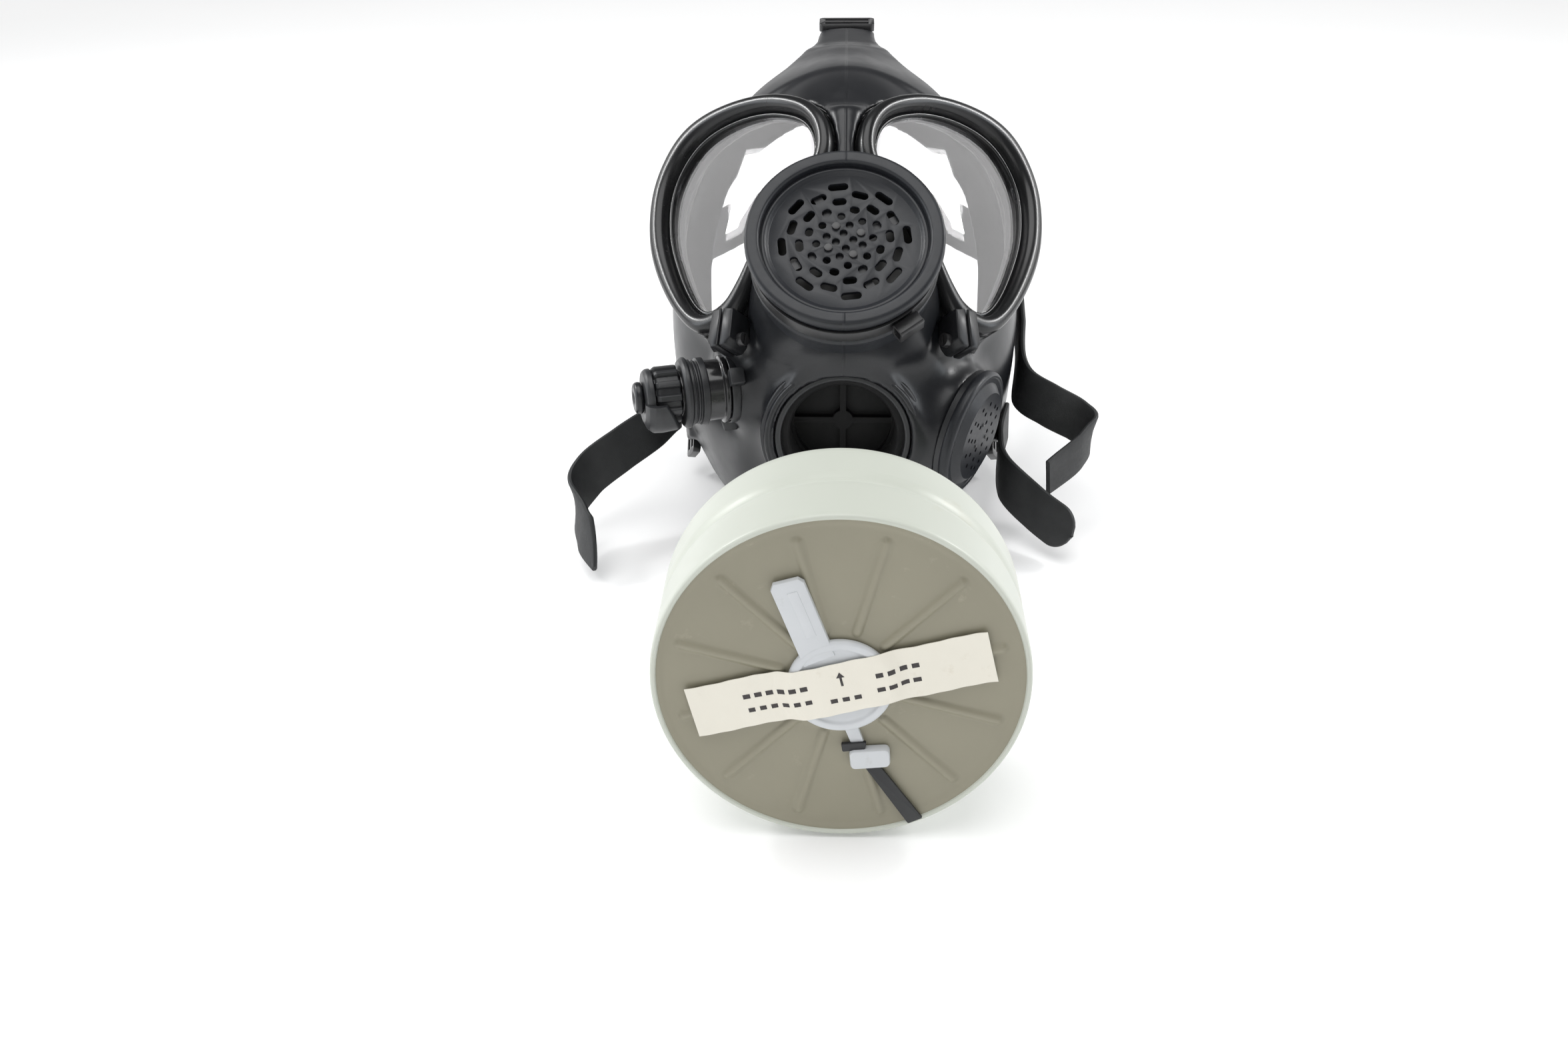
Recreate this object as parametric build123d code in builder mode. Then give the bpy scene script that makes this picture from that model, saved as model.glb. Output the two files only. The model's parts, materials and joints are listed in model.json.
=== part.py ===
from build123d import *
import os, math

os.makedirs("parts", exist_ok=True)

# ---------------------------------------------------------------- driving dimensions (mm)
TILT = 40.0            # the face part leans back by this much, chin on the table
TABLE = -54.0          # height of the table below the port's axis
WALL = 2.6             # rubber wall
DIA_R = 35.0           # speech diaphragm flange radius
PORT_R = 30.0          # filter port lip radius
THREAD_R = 20.0        # filter thread, nominal radius
CAN_R = 53.5           # canister radius
CAN_BACK = -161.0      # canister's bottom disc, Y
CAN_SHOULDER = -117.0  # end of the canister's straight wall, Y
NECK_TIP = -78.0       # free end of the canister's threaded neck, Y
STRAP_W = 20.0
STRAP_T = 2.0
TAIL_W = 18.0

S, C = math.sin(math.radians(TILT)), math.cos(math.radians(TILT))


def m(x, f, u):
    """Face frame (across, forward, up) to the part's frame."""
    return (x, -C * f + S * u, S * f + C * u)


def mplane(o, z, x):
    return Plane(origin=m(*o), x_dir=m(*x), z_dir=m(*z))


PORT = Plane(origin=(0, 0, 0), x_dir=(1, 0, 0), z_dir=(0, -1, 0))
D9 = math.radians(9.0)
DIA = mplane((0, 52, 60), (0, math.cos(D9), math.sin(D9)), (1, 0, 0))
B, G = math.radians(35), math.radians(8)
LENS = mplane((13, 22, 113), (math.sin(B) * math.cos(G), math.cos(B) * math.cos(G), math.sin(G)),
              (math.cos(B), -math.sin(B), 0))
SCREW = Plane(origin=LENS.from_local_coords(Vector(31.5, -78.2, -4.2)), x_dir=LENS.y_dir, z_dir=-LENS.x_dir)
A17 = math.radians(17)
DRINK = Plane(origin=(-34, 26, 11.2), x_dir=(math.sin(A17), -math.cos(A17), 0), z_dir=(-math.cos(A17), -math.sin(A17), 0))
EXH = Plane(origin=(44.5, 20, -3.5), x_dir=(0.47, 0.883, 0), z_dir=(0.873, -0.4647, -0.146))


def prof(p):
    """The half plane in which a turned piece's profile is drawn: (radius, height along the axis)."""
    return Plane(origin=p.origin, x_dir=p.x_dir, z_dir=p.x_dir.cross(p.z_dir))


def axis(p):
    return Axis(p.origin, p.z_dir)


def save(b, label):
    b.part.label = label
    export_step(b.part, "parts/%s.step" % label)


# lens outlines in the lens plane (outboard, up)
RIM_OUT = [(-9, -8), (-6, 5), (4, 16.5), (20, 24.5), (38, 27.7), (56, 26.5), (69, 20), (77, 6), (79.3, -10),
           (76, -30), (67, -49), (54, -66), (42, -73.5), (30, -71), (22.5, -60), (18.5, -48), (13.5, -38), (6, -30), (-2, -22), (-7.5, -14)]
GLASS = [(0, -5), (4, 5), (12, 12), (26, 17.5), (42, 18.5), (56, 14.5), (65, 5), (69, -8), (67, -25),
         (60, -42), (51, -57), (43, -63.5), (35, -60.5), (28.5, -51), (23.5, -41), (17, -31), (9, -22), (2, -13)]


def grow(pts, d):
    """The closed outline moved outwards by d."""
    out = []
    n = len(pts)
    for i in range(n):
        (x0, y0), (x1, y1) = pts[i - 1], pts[(i + 1) % n]
        tx, ty = x1 - x0, y1 - y0
        l = math.hypot(tx, ty)
        out.append((pts[i][0] - d * ty / l, pts[i][1] + d * tx / l))
    return out


# ---------------------------------------------------------------- facepiece
# half outlines of level sections, (half-width, forward) from the front centre to the rear edge
SECT = [
    (-23, [(0, -34), (8, -34.6), (14, -37), (18, -41), (20, -46), (20, -50)]),
    (-14, [(0, -23), (14, -25), (25, -31), (33, -41), (37, -52), (38, -61)]),
    (0, [(0, -8), (18, -11), (32, -21), (42, -36), (48, -56), (50, -76)]),
    (20, [(0, 9), (20, 7), (33, -3), (42, -20), (56, -46), (62, -79)]),
    (32, [(0, 22), (22, 20), (33, 9), (42, -8), (62, -40), (68, -79)]),
    (45, [(0, 29), (22, 26), (33, 14), (45, -6), (66, -40), (71, -80)]),
    (60, [(0, 31), (20, 27), (33, 11), (50, -7), (69, -42), (72, -80)]),
    (80, [(0, 31), (14, 25), (32, 7), (52, -10), (70, -42), (73, -80)]),
    (100, [(0, 25), (12, 17), (30, 4), (52, -14), (70, -44), (73, -79)]),
    (120, [(0, 19), (12, 14), (30, 0), (50, -19), (67, -46), (70, -76)]),
    (140, [(0, 9), (14, 5), (30, -8), (45, -22), (58, -44), (63, -70)]),
    (157, [(0, -6), (12, -9), (26, -19), (36, -30), (44, -46), (46, -62)]),
    (168, [(0, -20), (8, -21.5), (17, -28), (23, -36), (28, -48), (28, -57)]),
]


def inset(half, d):
    """Half section pushed in by d and run out through the open rear."""
    out = []
    n = len(half)
    for i, (x, f) in enumerate(half):
        if i == 0:
            out.append((0, f - d))
            continue
        x0, f0 = half[i - 1]
        x1, f1 = half[min(i + 1, n - 1)]
        tx, tf = x1 - x0, f1 - f0
        l = math.hypot(tx, tf)
        out.append((x + d * tf / l, f - d * tx / l))
    out[-1] = (out[-1][0], out[-1][1] - 6)
    return out



def level_sketch(u, half):
    pl = Plane(origin=m(0, 0, u), x_dir=(1, 0, 0), z_dir=m(0, 0, 1))
    pts = [(x, -f) for x, f in half]
    left = [(-x, y) for x, y in reversed(pts[1:])]
    with BuildSketch(pl, mode=Mode.PRIVATE) as sk:
        with BuildLine():
            Polyline(*(left + pts), close=True)
        make_face()
    return sk.sketch


inner_sect = []
for u, h in SECT:
    uu = u + 3.0 if u == -23 else (u - 2.6 if u == 168 else u)
    inner_sect.append((uu, inset(h, WALL)))

# cutting solids, made outside the part
hollow = loft([level_sketch(u, h) for u, h in inner_sect], ruled=True)
with BuildSketch(LENS.offset(-60)) as eye_sk:
    with BuildLine():
        Polyline(*grow(GLASS, 0.4), close=True)
    make_face()
eye_hole = extrude(eye_sk.sketch, amount=62)
with BuildSketch(LENS.offset(-28)) as seat_sk:
    with BuildLine():
        Polyline(*grow(RIM_OUT, -1.5), close=True)
    make_face()
eye_seat = extrude(seat_sk.sketch, amount=18.4)
with BuildSketch(LENS.offset(-12)) as lip_sk:
    with BuildLine():
        Polyline(*grow(GLASS, 2.5), close=True)
    make_face()
eye_lip = extrude(lip_sk.sketch, amount=6.8)
with BuildSketch(LENS.offset(-9.5)) as room_sk:
    with BuildLine():
        Polyline(*grow(RIM_OUT, 1.6), close=True)
    make_face()
    with Locations((31, -75)):
        Rectangle(25, 17)
rim_room = extrude(room_sk.sketch, amount=14)

with BuildPart() as facepiece:
    for u, h in SECT:
        with BuildSketch(Plane(origin=m(0, 0, u), x_dir=(1, 0, 0), z_dir=m(0, 0, 1))):
            with BuildLine():
                Polyline(*([(-x, -f) for x, f in reversed(h[1:])] + [(x, -f) for x, f in h]), close=True)
            make_face()
    loft(ruled=True)
    # nose bridge between the eyes
    with BuildSketch(Plane(origin=m(0, 0, 92), x_dir=(1, 0, 0), z_dir=m(0, 0, 1))):
        with BuildLine():
            Polyline((-12, -8), (-7, -21), (0, -26.5), (7, -21), (12, -8), close=True)
        make_face()
    extrude(amount=32)
    # forehead tab running up and back
    with BuildSketch(mplane((0, -16, 162), (0, 0.72, 0.69), (1, 0, 0))):
        with BuildLine():
            Polyline((-27, -4), (-24, 12), (-15, 30), (-12.5, 54), (12.5, 54), (15, 30), (24, 12), (27, -4), close=True)
        make_face()
    extrude(amount=-3.2)
    # eye sockets: a broad seat under the rim and the lip that the lens lies on
    add(eye_seat)
    add(eye_seat.mirror(Plane.YZ))
    add(rim_room, mode=Mode.SUBTRACT)
    add(rim_room.mirror(Plane.YZ), mode=Mode.SUBTRACT)
    add(eye_lip)
    add(eye_lip.mirror(Plane.YZ))
    # barrel of the speech diaphragm and its flange
    with BuildSketch(DIA.offset(-38)):
        Circle(33.0)
    extrude(amount=35)
    with BuildSketch(DIA.offset(-4)):
        Circle(DIA_R)
    extrude(amount=4)
    # collar and lip of the filter port
    with BuildSketch(PORT.offset(-34)):
        Circle(29.0)
    extrude(amount=30)
    with BuildSketch(PORT.offset(-5)):
        Circle(PORT_R)
    extrude(amount=5)
    # strap lugs on the rear edge
    for lug in (mplane((70.6, -76.7, 112), (0.95, 0.3, 0), (0, 0, 1)), mplane((65.0, -76.7, 30), (0.95, 0.3, 0), (0, 0, 1))):
        with BuildSketch(lug.offset(-1.2)):
            Rectangle(18, 9.2)
        extrude(amount=2.4)
        with BuildSketch(Plane(origin=(-lug.origin.X, lug.origin.Y, lug.origin.Z), x_dir=lug.x_dir,
                               z_dir=(-lug.z_dir.X, lug.z_dir.Y, lug.z_dir.Z)).offset(-1.2)):
            Rectangle(18, 9.2)
        extrude(amount=2.4)
    # cheek bosses
    with BuildSketch(DRINK.offset(-4)):
        Circle(12.5)
    extrude(amount=16)
    with BuildSketch(EXH.offset(-18)):
        Circle(22.0)
    extrude(amount=19)
    add(hollow, mode=Mode.SUBTRACT)
    # the port's tube goes on inside
    with BuildSketch(PORT.offset(-24)):
        Circle(29.0)
    extrude(amount=20)
    add(eye_hole, mode=Mode.SUBTRACT)
    add(eye_hole.mirror(Plane.YZ), mode=Mode.SUBTRACT)
    with BuildSketch(prof(DIA)):
        with BuildLine():
            Polyline((0, -44), (28, -44), (28, -8), (30, -8), (30, 2), (0, 2), close=True)
        make_face()
    revolve(axis=axis(DIA), mode=Mode.SUBTRACT)
    with BuildSketch(prof(PORT)):
        with BuildLine():
            Polyline((0, -30), (25.6, -30), (25.6, -5), (27.6, -3), (27.6, 2), (0, 2), close=True)
        make_face()
    revolve(axis=axis(PORT), mode=Mode.SUBTRACT)
    with BuildSketch(DRINK.offset(-12)):
        Circle(6.0)
    extrude(amount=10, mode=Mode.SUBTRACT)
    with BuildSketch(DRINK.offset(-2.2)):
        Circle(9.6)
    extrude(amount=20, mode=Mode.SUBTRACT)
    with BuildSketch(DRINK.offset(7.0)):
        Circle(19.5)
        Circle(12.5, mode=Mode.SUBTRACT)
    extrude(amount=12, mode=Mode.SUBTRACT)
    with BuildSketch(prof(EXH)):
        with BuildLine():
            Polyline((0, -30), (8, -30), (8, -8.2), (19, -8.2), (19, 3), (0, 3), close=True)
        make_face()
    revolve(axis=axis(EXH), mode=Mode.SUBTRACT)
save(facepiece, "facepiece")

# ---------------------------------------------------------------- inner half mask over nose and mouth
with BuildPart() as nose_cup:
    for f, cu, hw, hh in ((-20, 52, 19, 19), (-36, 48, 28, 31), (-54, 44, 35, 41)):
        with BuildSketch(mplane((0, f, cu), (0, -1, 0), (1, 0, 0))):
            with BuildLine():
                Polyline((-hw, -0.3 * hh), (-0.72 * hw, -0.85 * hh), (0, -hh), (0.72 * hw, -0.85 * hh), (hw, -0.3 * hh),
                         (hw, 0.35 * hh), (0.6 * hw, 0.85 * hh), (0, hh), (-0.6 * hw, 0.85 * hh), (-hw, 0.35 * hh), close=True)
            make_face()
    loft(ruled=True)
    for f, cu, hw, hh in ((-22, 52, 17, 17), (-36, 48, 26, 29), (-56, 43.6, 34, 40)):
        with BuildSketch(mplane((0, f, cu), (0, -1, 0), (1, 0, 0))):
            with BuildLine():
                Polyline((-hw, -0.3 * hh), (-0.72 * hw, -0.85 * hh), (0, -hh), (0.72 * hw, -0.85 * hh), (hw, -0.3 * hh),
                         (hw, 0.35 * hh), (0.6 * hw, 0.85 * hh), (0, hh), (-0.6 * hw, 0.85 * hh), (-hw, 0.35 * hh), close=True)
            make_face()
    loft(ruled=True, mode=Mode.SUBTRACT)
    # two valve holes in the front wall
    for sx in (-1, 1):
        with BuildSketch(mplane((sx * 9, -16, 54), (0, -1, 0), (1, 0, 0))):
            Circle(5.0)
        extrude(amount=8, mode=Mode.SUBTRACT)
save(nose_cup, "nose_cup")

cup_planes = [mplane((sx * 9, -20, 54), (0, 1, 0), (1, 0, 0)) for sx in (-1, 1)]
with BuildPart() as cup_valve_seats:
    for p in cup_planes:
        with BuildSketch(prof(p)):
            with BuildLine():
                Polyline((3.6, -2.6), (4.9, -2.6), (4.9, 0.1), (6.2, 0.1), (6.2, 1.0), (3.6, 1.0), close=True)
            make_face()
        revolve(axis=axis(p))
        with BuildSketch(p.offset(-0.6)):
            Rectangle(8.4, 1.0)
        extrude(amount=1.6)
        with BuildSketch(p.offset(-4.6)):
            Circle(0.7)
        extrude(amount=5)
        with BuildSketch(p.offset(-5.2)):
            Circle(1.3)
        extrude(amount=0.6)
save(cup_valve_seats, "cup_valve_seats")

with BuildPart() as cup_flap_left:
    with BuildSketch(cup_planes[0].offset(-3.3)):
        Circle(4.6)
        Circle(0.75, mode=Mode.SUBTRACT)
    extrude(amount=0.5)
save(cup_flap_left, "cup_flap_left")
with BuildPart() as cup_flap_right:
    with BuildSketch(cup_planes[1].offset(-3.3)):
        Circle(4.6)
        Circle(0.75, mode=Mode.SUBTRACT)
    extrude(amount=0.5)
save(cup_flap_right, "cup_flap_right")

# ---------------------------------------------------------------- eyepieces
with BuildPart() as lens_right:
    with BuildSketch(LENS.offset(-5.0)):
        with BuildLine():
            Spline(*grow(GLASS, 2.4), periodic=True)
        make_face()
    extrude(amount=2.0)
save(lens_right, "lens_right")
with BuildPart() as lens_left:
    add(lens_right.part.mirror(Plane.YZ))
save(lens_left, "lens_left")

with BuildPart() as rim_right:
    with BuildSketch(LENS.offset(-9.3)):
        with BuildLine():
            Spline(*RIM_OUT, periodic=True)
        make_face()
    extrude(amount=9.3)
    with BuildSketch(LENS.offset(-9.5)):
        with BuildLine():
            Spline(*grow(GLASS, 3.4), periodic=True)
        make_face()
    extrude(amount=6.6, mode=Mode.SUBTRACT)
    with BuildSketch(LENS.offset(-4)):
        with BuildLine():
            Spline(*GLASS, periodic=True)
        make_face()
    extrude(amount=5, mode=Mode.SUBTRACT)
    fillet(rim_right.faces().sort_by(axis(LENS))[-1].edges().sort_by(SortBy.LENGTH)[-1], 2.0)
# the rim stops short of the diaphragm's barrel and of the nose bridge
with BuildPart() as rim_right_cut:
    add(rim_right.part)
    with BuildSketch(DIA.offset(-60)):
        Circle(33.4)
    extrude(amount=56, mode=Mode.SUBTRACT)
rim_right = rim_right_cut
save(rim_right, "rim_right")
with BuildPart() as rim_left:
    add(rim_right.part.mirror(Plane.YZ))
save(rim_left, "rim_left")

# the rim's clamp with its screw, at the lower inner corner
with BuildPart() as rim_clamp_right:
    with BuildSketch(LENS.offset(-9.0)):
        with Locations((31.5, -78.2)):
            Rectangle(10.5, 7.0)
    extrude(amount=10.6)
    with BuildSketch(LENS.offset(0.06)):
        with Locations((31.5, -74)):
            Rectangle(10.5, 15.4)
    extrude(amount=1.6)
    with BuildSketch(SCREW.offset(-8)):
        Circle(1.3)
    extrude(amount=16, mode=Mode.SUBTRACT)
save(rim_clamp_right, "rim_clamp_right")
with BuildPart() as rim_clamp_left:
    add(rim_clamp_right.part.mirror(Plane.YZ))
save(rim_clamp_left, "rim_clamp_left")
with BuildPart() as screw_one:
    with BuildSketch(SCREW.offset(-7.4)):
        Circle(1.25)
    extrude(amount=12.7)
    with BuildSketch(SCREW.offset(5.28)):
        Circle(2.6)
    extrude(amount=2.2)
    with BuildSketch(SCREW.offset(6.8)):
        Rectangle(4.2, 0.8)
    extrude(amount=1, mode=Mode.SUBTRACT)
with BuildPart() as rim_screws:
    add(screw_one.part)
    add(screw_one.part.mirror(Plane.YZ))
save(rim_screws, "rim_screws")
with BuildPart() as nut_one:
    with BuildSketch(SCREW.offset(-7.2)):
        RegularPolygon(2.7, 6)
        Circle(1.27, mode=Mode.SUBTRACT)
    extrude(amount=1.9)
with BuildPart() as rim_nuts:
    add(nut_one.part)
    add(nut_one.part.mirror(Plane.YZ))
save(rim_nuts, "rim_nuts")

# ---------------------------------------------------------------- speech diaphragm
with BuildPart() as diaphragm_housing:
    with BuildSketch(prof(DIA)):
        with BuildLine():
            Polyline((25, -22), (27.9, -22), (27.9, -7.9), (29.9, -7.9), (29.9, -5.5), (26.2, -5.5), (26.2, -9.0), (25, -9.0), close=True)
        make_face()
    revolve(axis=axis(DIA))
save(diaphragm_housing, "diaphragm_housing")

with BuildPart() as diaphragm_plate:
    with BuildSketch(prof(DIA)):
        with BuildLine():
            Polyline((0, -5.4), (29.9, -5.4), (29.9, -2.9), (28.3, -2.9), (27.0, -3.9), (0, -3.9), close=True)
        make_face()
    revolve(axis=axis(DIA))
    with BuildSketch(DIA.offset(-6)):
        with PolarLocations(3.1, 4, start_angle=8):
            Circle(1.4)
        with PolarLocations(6.55, 4, start_angle=75):
            Circle(1.4)
        with PolarLocations(10.0, 8, start_angle=7):
            Circle(1.4)
        with PolarLocations(6.45, 4, start_angle=28):
            Circle(1.05)
        with PolarLocations(13.0, 8, start_angle=29.5):
            SlotOverall(3.5, 2.8, rotation=90)
        with PolarLocations(16.0, 8, start_angle=7):
            SlotOverall(5.0, 2.8, rotation=90)
        with PolarLocations(19.3, 8, start_angle=29):
            SlotOverall(6.0, 2.8, rotation=90)
        with PolarLocations(22.1, 8, start_angle=6.5):
            SlotOverall(7.2, 2.8, rotation=90)
    extrude(amount=4, mode=Mode.SUBTRACT)
save(diaphragm_plate, "diaphragm_plate")

with BuildPart() as diaphragm_spider:
    with BuildSketch(DIA.offset(-8.0)):
        Circle(26.0)
        Circle(24.0, mode=Mode.SUBTRACT)
        Circle(8.5)
        with PolarLocations(16.5, 4, start_angle=28):
            Rectangle(18, 3.2)
        with PolarLocations(6.45, 4, start_angle=28):
            Circle(1.05, mode=Mode.SUBTRACT)
    extrude(amount=2.4)
save(diaphragm_spider, "diaphragm_spider")

with BuildPart() as diaphragm_rivets:
    with BuildSketch(DIA.offset(-8.6)):
        with PolarLocations(6.45, 4, start_angle=28):
            Circle(1.0)
    extrude(amount=5)
    with BuildSketch(DIA.offset(-3.88)):
        with PolarLocations(6.45, 4, start_angle=28):
            Circle(1.45)
    extrude(amount=0.8)
save(diaphragm_rivets, "diaphragm_rivets")

with BuildPart() as speech_membrane:
    with BuildSketch(DIA.offset(-15.0)):
        Circle(24.8)
    extrude(amount=0.3)
save(speech_membrane, "speech_membrane")
with BuildPart() as membrane_ring:
    with BuildSketch(DIA.offset(-17.5)):
        Circle(24.9)
        Circle(21.5, mode=Mode.SUBTRACT)
    extrude(amount=2.4)
save(membrane_ring, "membrane_ring")
with BuildPart() as diaphragm_band:
    with BuildSketch(DIA.offset(-15.0)):
        Circle(34.1)
        Circle(33.05, mode=Mode.SUBTRACT)
    extrude(amount=7.0)
save(diaphragm_band, "diaphragm_band")
A53 = math.radians(-53)
RAD = DIA.x_dir * math.cos(A53) + DIA.y_dir * math.sin(A53)
TAN = DIA.y_dir * math.cos(A53) - DIA.x_dir * math.sin(A53)
FAST = Plane(origin=DIA.from_local_coords(Vector(37.2 * math.cos(A53), 37.2 * math.sin(A53), -11.5)), x_dir=RAD, z_dir=TAN)
with BuildPart() as band_fastener:
    with BuildSketch(FAST.offset(-5)):
        RectangleRounded(5.2, 6.0, 1.0)
        RectangleRounded(3.4, 4.2, 0.6, mode=Mode.SUBTRACT)
    extrude(amount=10)
save(band_fastener, "band_fastener")

# ---------------------------------------------------------------- filter port
with BuildPart() as port_retaining_ring:
    with BuildSketch(prof(PORT)):
        with BuildLine():
            Polyline((23.2, -4.9), (25.5, -4.9), (27.4, -2.9), (27.4, -1.4), (26.2, -1.4), (23.2, -4.2), close=True)
        make_face()
    revolve(axis=axis(PORT))
save(port_retaining_ring, "port_retaining_ring")
with BuildPart() as filter_connector:
    with BuildSketch(prof(PORT)):
        with BuildLine():
            Polyline((THREAD_R, -17), (25.5, -17), (25.5, -5.0), (22.5, -5.0), (20.0, -6.0), close=True)
        make_face()
    revolve(axis=axis(PORT))
save(filter_connector, "filter_connector")
with BuildPart() as connector_gasket:
    with BuildSketch(PORT.offset(-18.6)):
        Circle(25.5)
        Circle(18.6, mode=Mode.SUBTRACT)
    extrude(amount=1.5)
save(connector_gasket, "connector_gasket")
with BuildPart() as inlet_spider:
    with BuildSketch(PORT.offset(-21.4)):
        Circle(25.5)
        Circle(19.0, mode=Mode.SUBTRACT)
        Rectangle(40, 2.4)
        Rectangle(2.4, 40)
        Circle(4.0)
    extrude(amount=2.7)
    with BuildSketch(PORT.offset(-21.4)):
        Circle(1.2)
    extrude(amount=-4.6)
    with BuildSketch(PORT.offset(-26.0)):
        Circle(2.4)
    extrude(amount=-0.9)
save(inlet_spider, "inlet_spider")
with BuildPart() as inlet_flap:
    with BuildSketch(PORT.offset(-22.4)):
        Circle(22.0)
        Circle(1.26, mode=Mode.SUBTRACT)
    extrude(amount=0.9)
save(inlet_flap, "inlet_flap")

# ---------------------------------------------------------------- exhale valve on the right cheek
with BuildPart() as exhale_seat:
    with BuildSketch(prof(EXH)):
        with BuildLine():
            Polyline((14, -7.9), (18.9, -7.9), (18.9, 1.2), (23.8, 1.2), (23.8, 3.2), (14, 3.2), close=True)
        make_face()
    revolve(axis=axis(EXH))
    with BuildSketch(EXH.offset(0.4)):
        Rectangle(29, 2.0)
        Rectangle(2.0, 29)
        Circle(3.0)
    extrude(amount=2.6)
    with BuildSketch(EXH.offset(2.0)):
        Circle(1.2)
    extrude(amount=4.8)
    with BuildSketch(EXH.offset(6.3)):
        Circle(2.2)
    extrude(amount=0.8)
save(exhale_seat, "exhale_seat")
with BuildPart() as exhale_flap:
    with BuildSketch(EXH.offset(3.3)):
        Circle(16.4)
        Circle(1.26, mode=Mode.SUBTRACT)
    extrude(amount=0.8)
save(exhale_flap, "exhale_flap")
with BuildPart() as exhale_cover:
    with BuildSketch(prof(EXH)):
        with BuildLine():
            Polyline((0, 7.6), (15.6, 7.6), (18.2, 5.4), (18.2, 3.3), (24, 3.3), (24, 6.2), (23.2, 7.0), (20.6, 7.0), (17.4, 9.6), (0, 9.6), close=True)
        make_face()
    revolve(axis=axis(EXH))
    with BuildSketch(EXH.offset(7)):
        with PolarLocations(13.2, 3, start_angle=30):
            with PolarLocations(1.0, 1):
                Circle(0.9)
        with PolarLocations(13.0, 12, start_angle=15):
            Circle(0.9)
        with PolarLocations(9.4, 9, start_angle=10):
            Circle(0.9)
        with PolarLocations(5.6, 6, start_angle=0):
            Circle(0.9)
    extrude(amount=4, mode=Mode.SUBTRACT)
save(exhale_cover, "exhale_cover")
# ---------------------------------------------------------------- drinking device on the left cheek
with BuildPart() as drink_socket:
    with BuildSketch(prof(DRINK)):
        with BuildLine():
            Polyline((2.56, -2), (9.5, -2), (9.5, 12.1), (13, 12.1), (13, 13.8), (11.6, 14.2), (11.6, 20), (8.5, 20), (8.5, 30), (2.56, 30), close=True)
        make_face()
    revolve(axis=axis(DRINK))
save(drink_socket, "drink_socket")
with BuildPart() as drink_bands:
    with BuildSketch(DRINK.offset(8.2)):
        Circle(13.3)
        Circle(12.55, mode=Mode.SUBTRACT)
    extrude(amount=3.4)
    for ang, r in ((-100, 15.4), (38, 15.4)):
        with BuildSketch(DRINK.offset(7.2)):
            with PolarLocations(r, 1, start_angle=ang):
                Rectangle(4.6, 6.2)
        extrude(amount=5.4)
save(drink_bands, "drink_bands")
with BuildPart() as drink_step_ring:
    with BuildSketch(prof(DRINK)):
        with BuildLine():
            Polyline((8.55, 20.1), (12.9, 20.1), (12.9, 22.6), (11.9, 23.0), (11.9, 24.6), (12.6, 25.0), (12.6, 26.4), (8.55, 26.4), close=True)
        make_face()
    revolve(axis=axis(DRINK))
save(drink_step_ring, "drink_step_ring")
with BuildPart() as drink_flange:
    with BuildSketch(prof(DRINK)):
        with BuildLine():
            Polyline((8.55, 26.5), (13.4, 26.5), (13.6, 28.2), (12.4, 29.4), (8.55, 29.4), close=True)
        make_face()
    revolve(axis=axis(DRINK))
save(drink_flange, "drink_flange")
with BuildPart() as drink_drum:
    with BuildSketch(DRINK.offset(30.3)):
        Circle(11.0)
        Circle(2.52, mode=Mode.SUBTRACT)
        with PolarLocations(11.6, 12):
            Circle(1.5, mode=Mode.SUBTRACT)
    extrude(amount=9.7)
save(drink_drum, "drink_drum")
with BuildPart() as drink_cap:
    with BuildSketch(DRINK.offset(30.8)):
        Circle(13.9)
        Circle(11.3, mode=Mode.SUBTRACT)
        with Locations((0, 9.5)):
            Rectangle(40, 20, mode=Mode.SUBTRACT)
    extrude(amount=13.2)
    with BuildSketch(DRINK.offset(40.1)):
        Circle(11.3)
        with BuildLine():
            l1 = ThreePointArc((-13.9, 0), (0, -13.9), (13.9, 0))
            Line(l1 @ 1, l1 @ 0)
        make_face()
    extrude(amount=3.9)
    with BuildSketch(DRINK.offset(40.0)):
        Circle(4.4)
    extrude(amount=5, mode=Mode.SUBTRACT)
save(drink_cap, "drink_cap")
with BuildPart() as drink_plug:
    with BuildSketch(prof(DRINK)):
        with BuildLine():
            Polyline((0, 40.6), (4.3, 40.6), (4.3, 44.3), (6.0, 44.3), (6.0, 46.2), (5.2, 47.2), (2.0, 47.2), (0, 46.6), close=True)
        make_face()
    revolve(axis=axis(DRINK))
save(drink_plug, "drink_plug")
ARM = DRINK.offset(-9.0)
with BuildPart() as drink_tube:
    with BuildSketch(DRINK.offset(-11.6)):
        Circle(2.5)
    extrude(amount=51.5)
    with BuildSketch(Plane(origin=ARM.origin, x_dir=ARM.z_dir, z_dir=(0, 0, 1))):
        Circle(2.6)
        Circle(1.4, mode=Mode.SUBTRACT)
    extrude(amount=15)
save(drink_tube, "drink_tube")

# ---------------------------------------------------------------- straps and buckles


def run(a, b, side, w=STRAP_W, t=STRAP_T):
    """Plane and length for one straight run of strap from a to b; side is the direction of its width."""
    va, vb = Vector(*a), Vector(*b)
    d = (vb - va)
    n = d.cross(Vector(*side)).normalized()
    return Plane(origin=(va + vb) * 0.5, x_dir=d.normalized(), z_dir=n), d.length


def strap_part(points, sides, label, w=STRAP_W, lap=0.6):
    with BuildPart() as st:
        for i in range(len(points) - 1):
            pl, ln = run(points[i], points[i + 1], sides[i])
            with BuildSketch(pl.offset(-STRAP_T / 2)):
                Rectangle(ln + lap, w)
            extrude(amount=STRAP_T)
    save(st, label)
    return st


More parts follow.
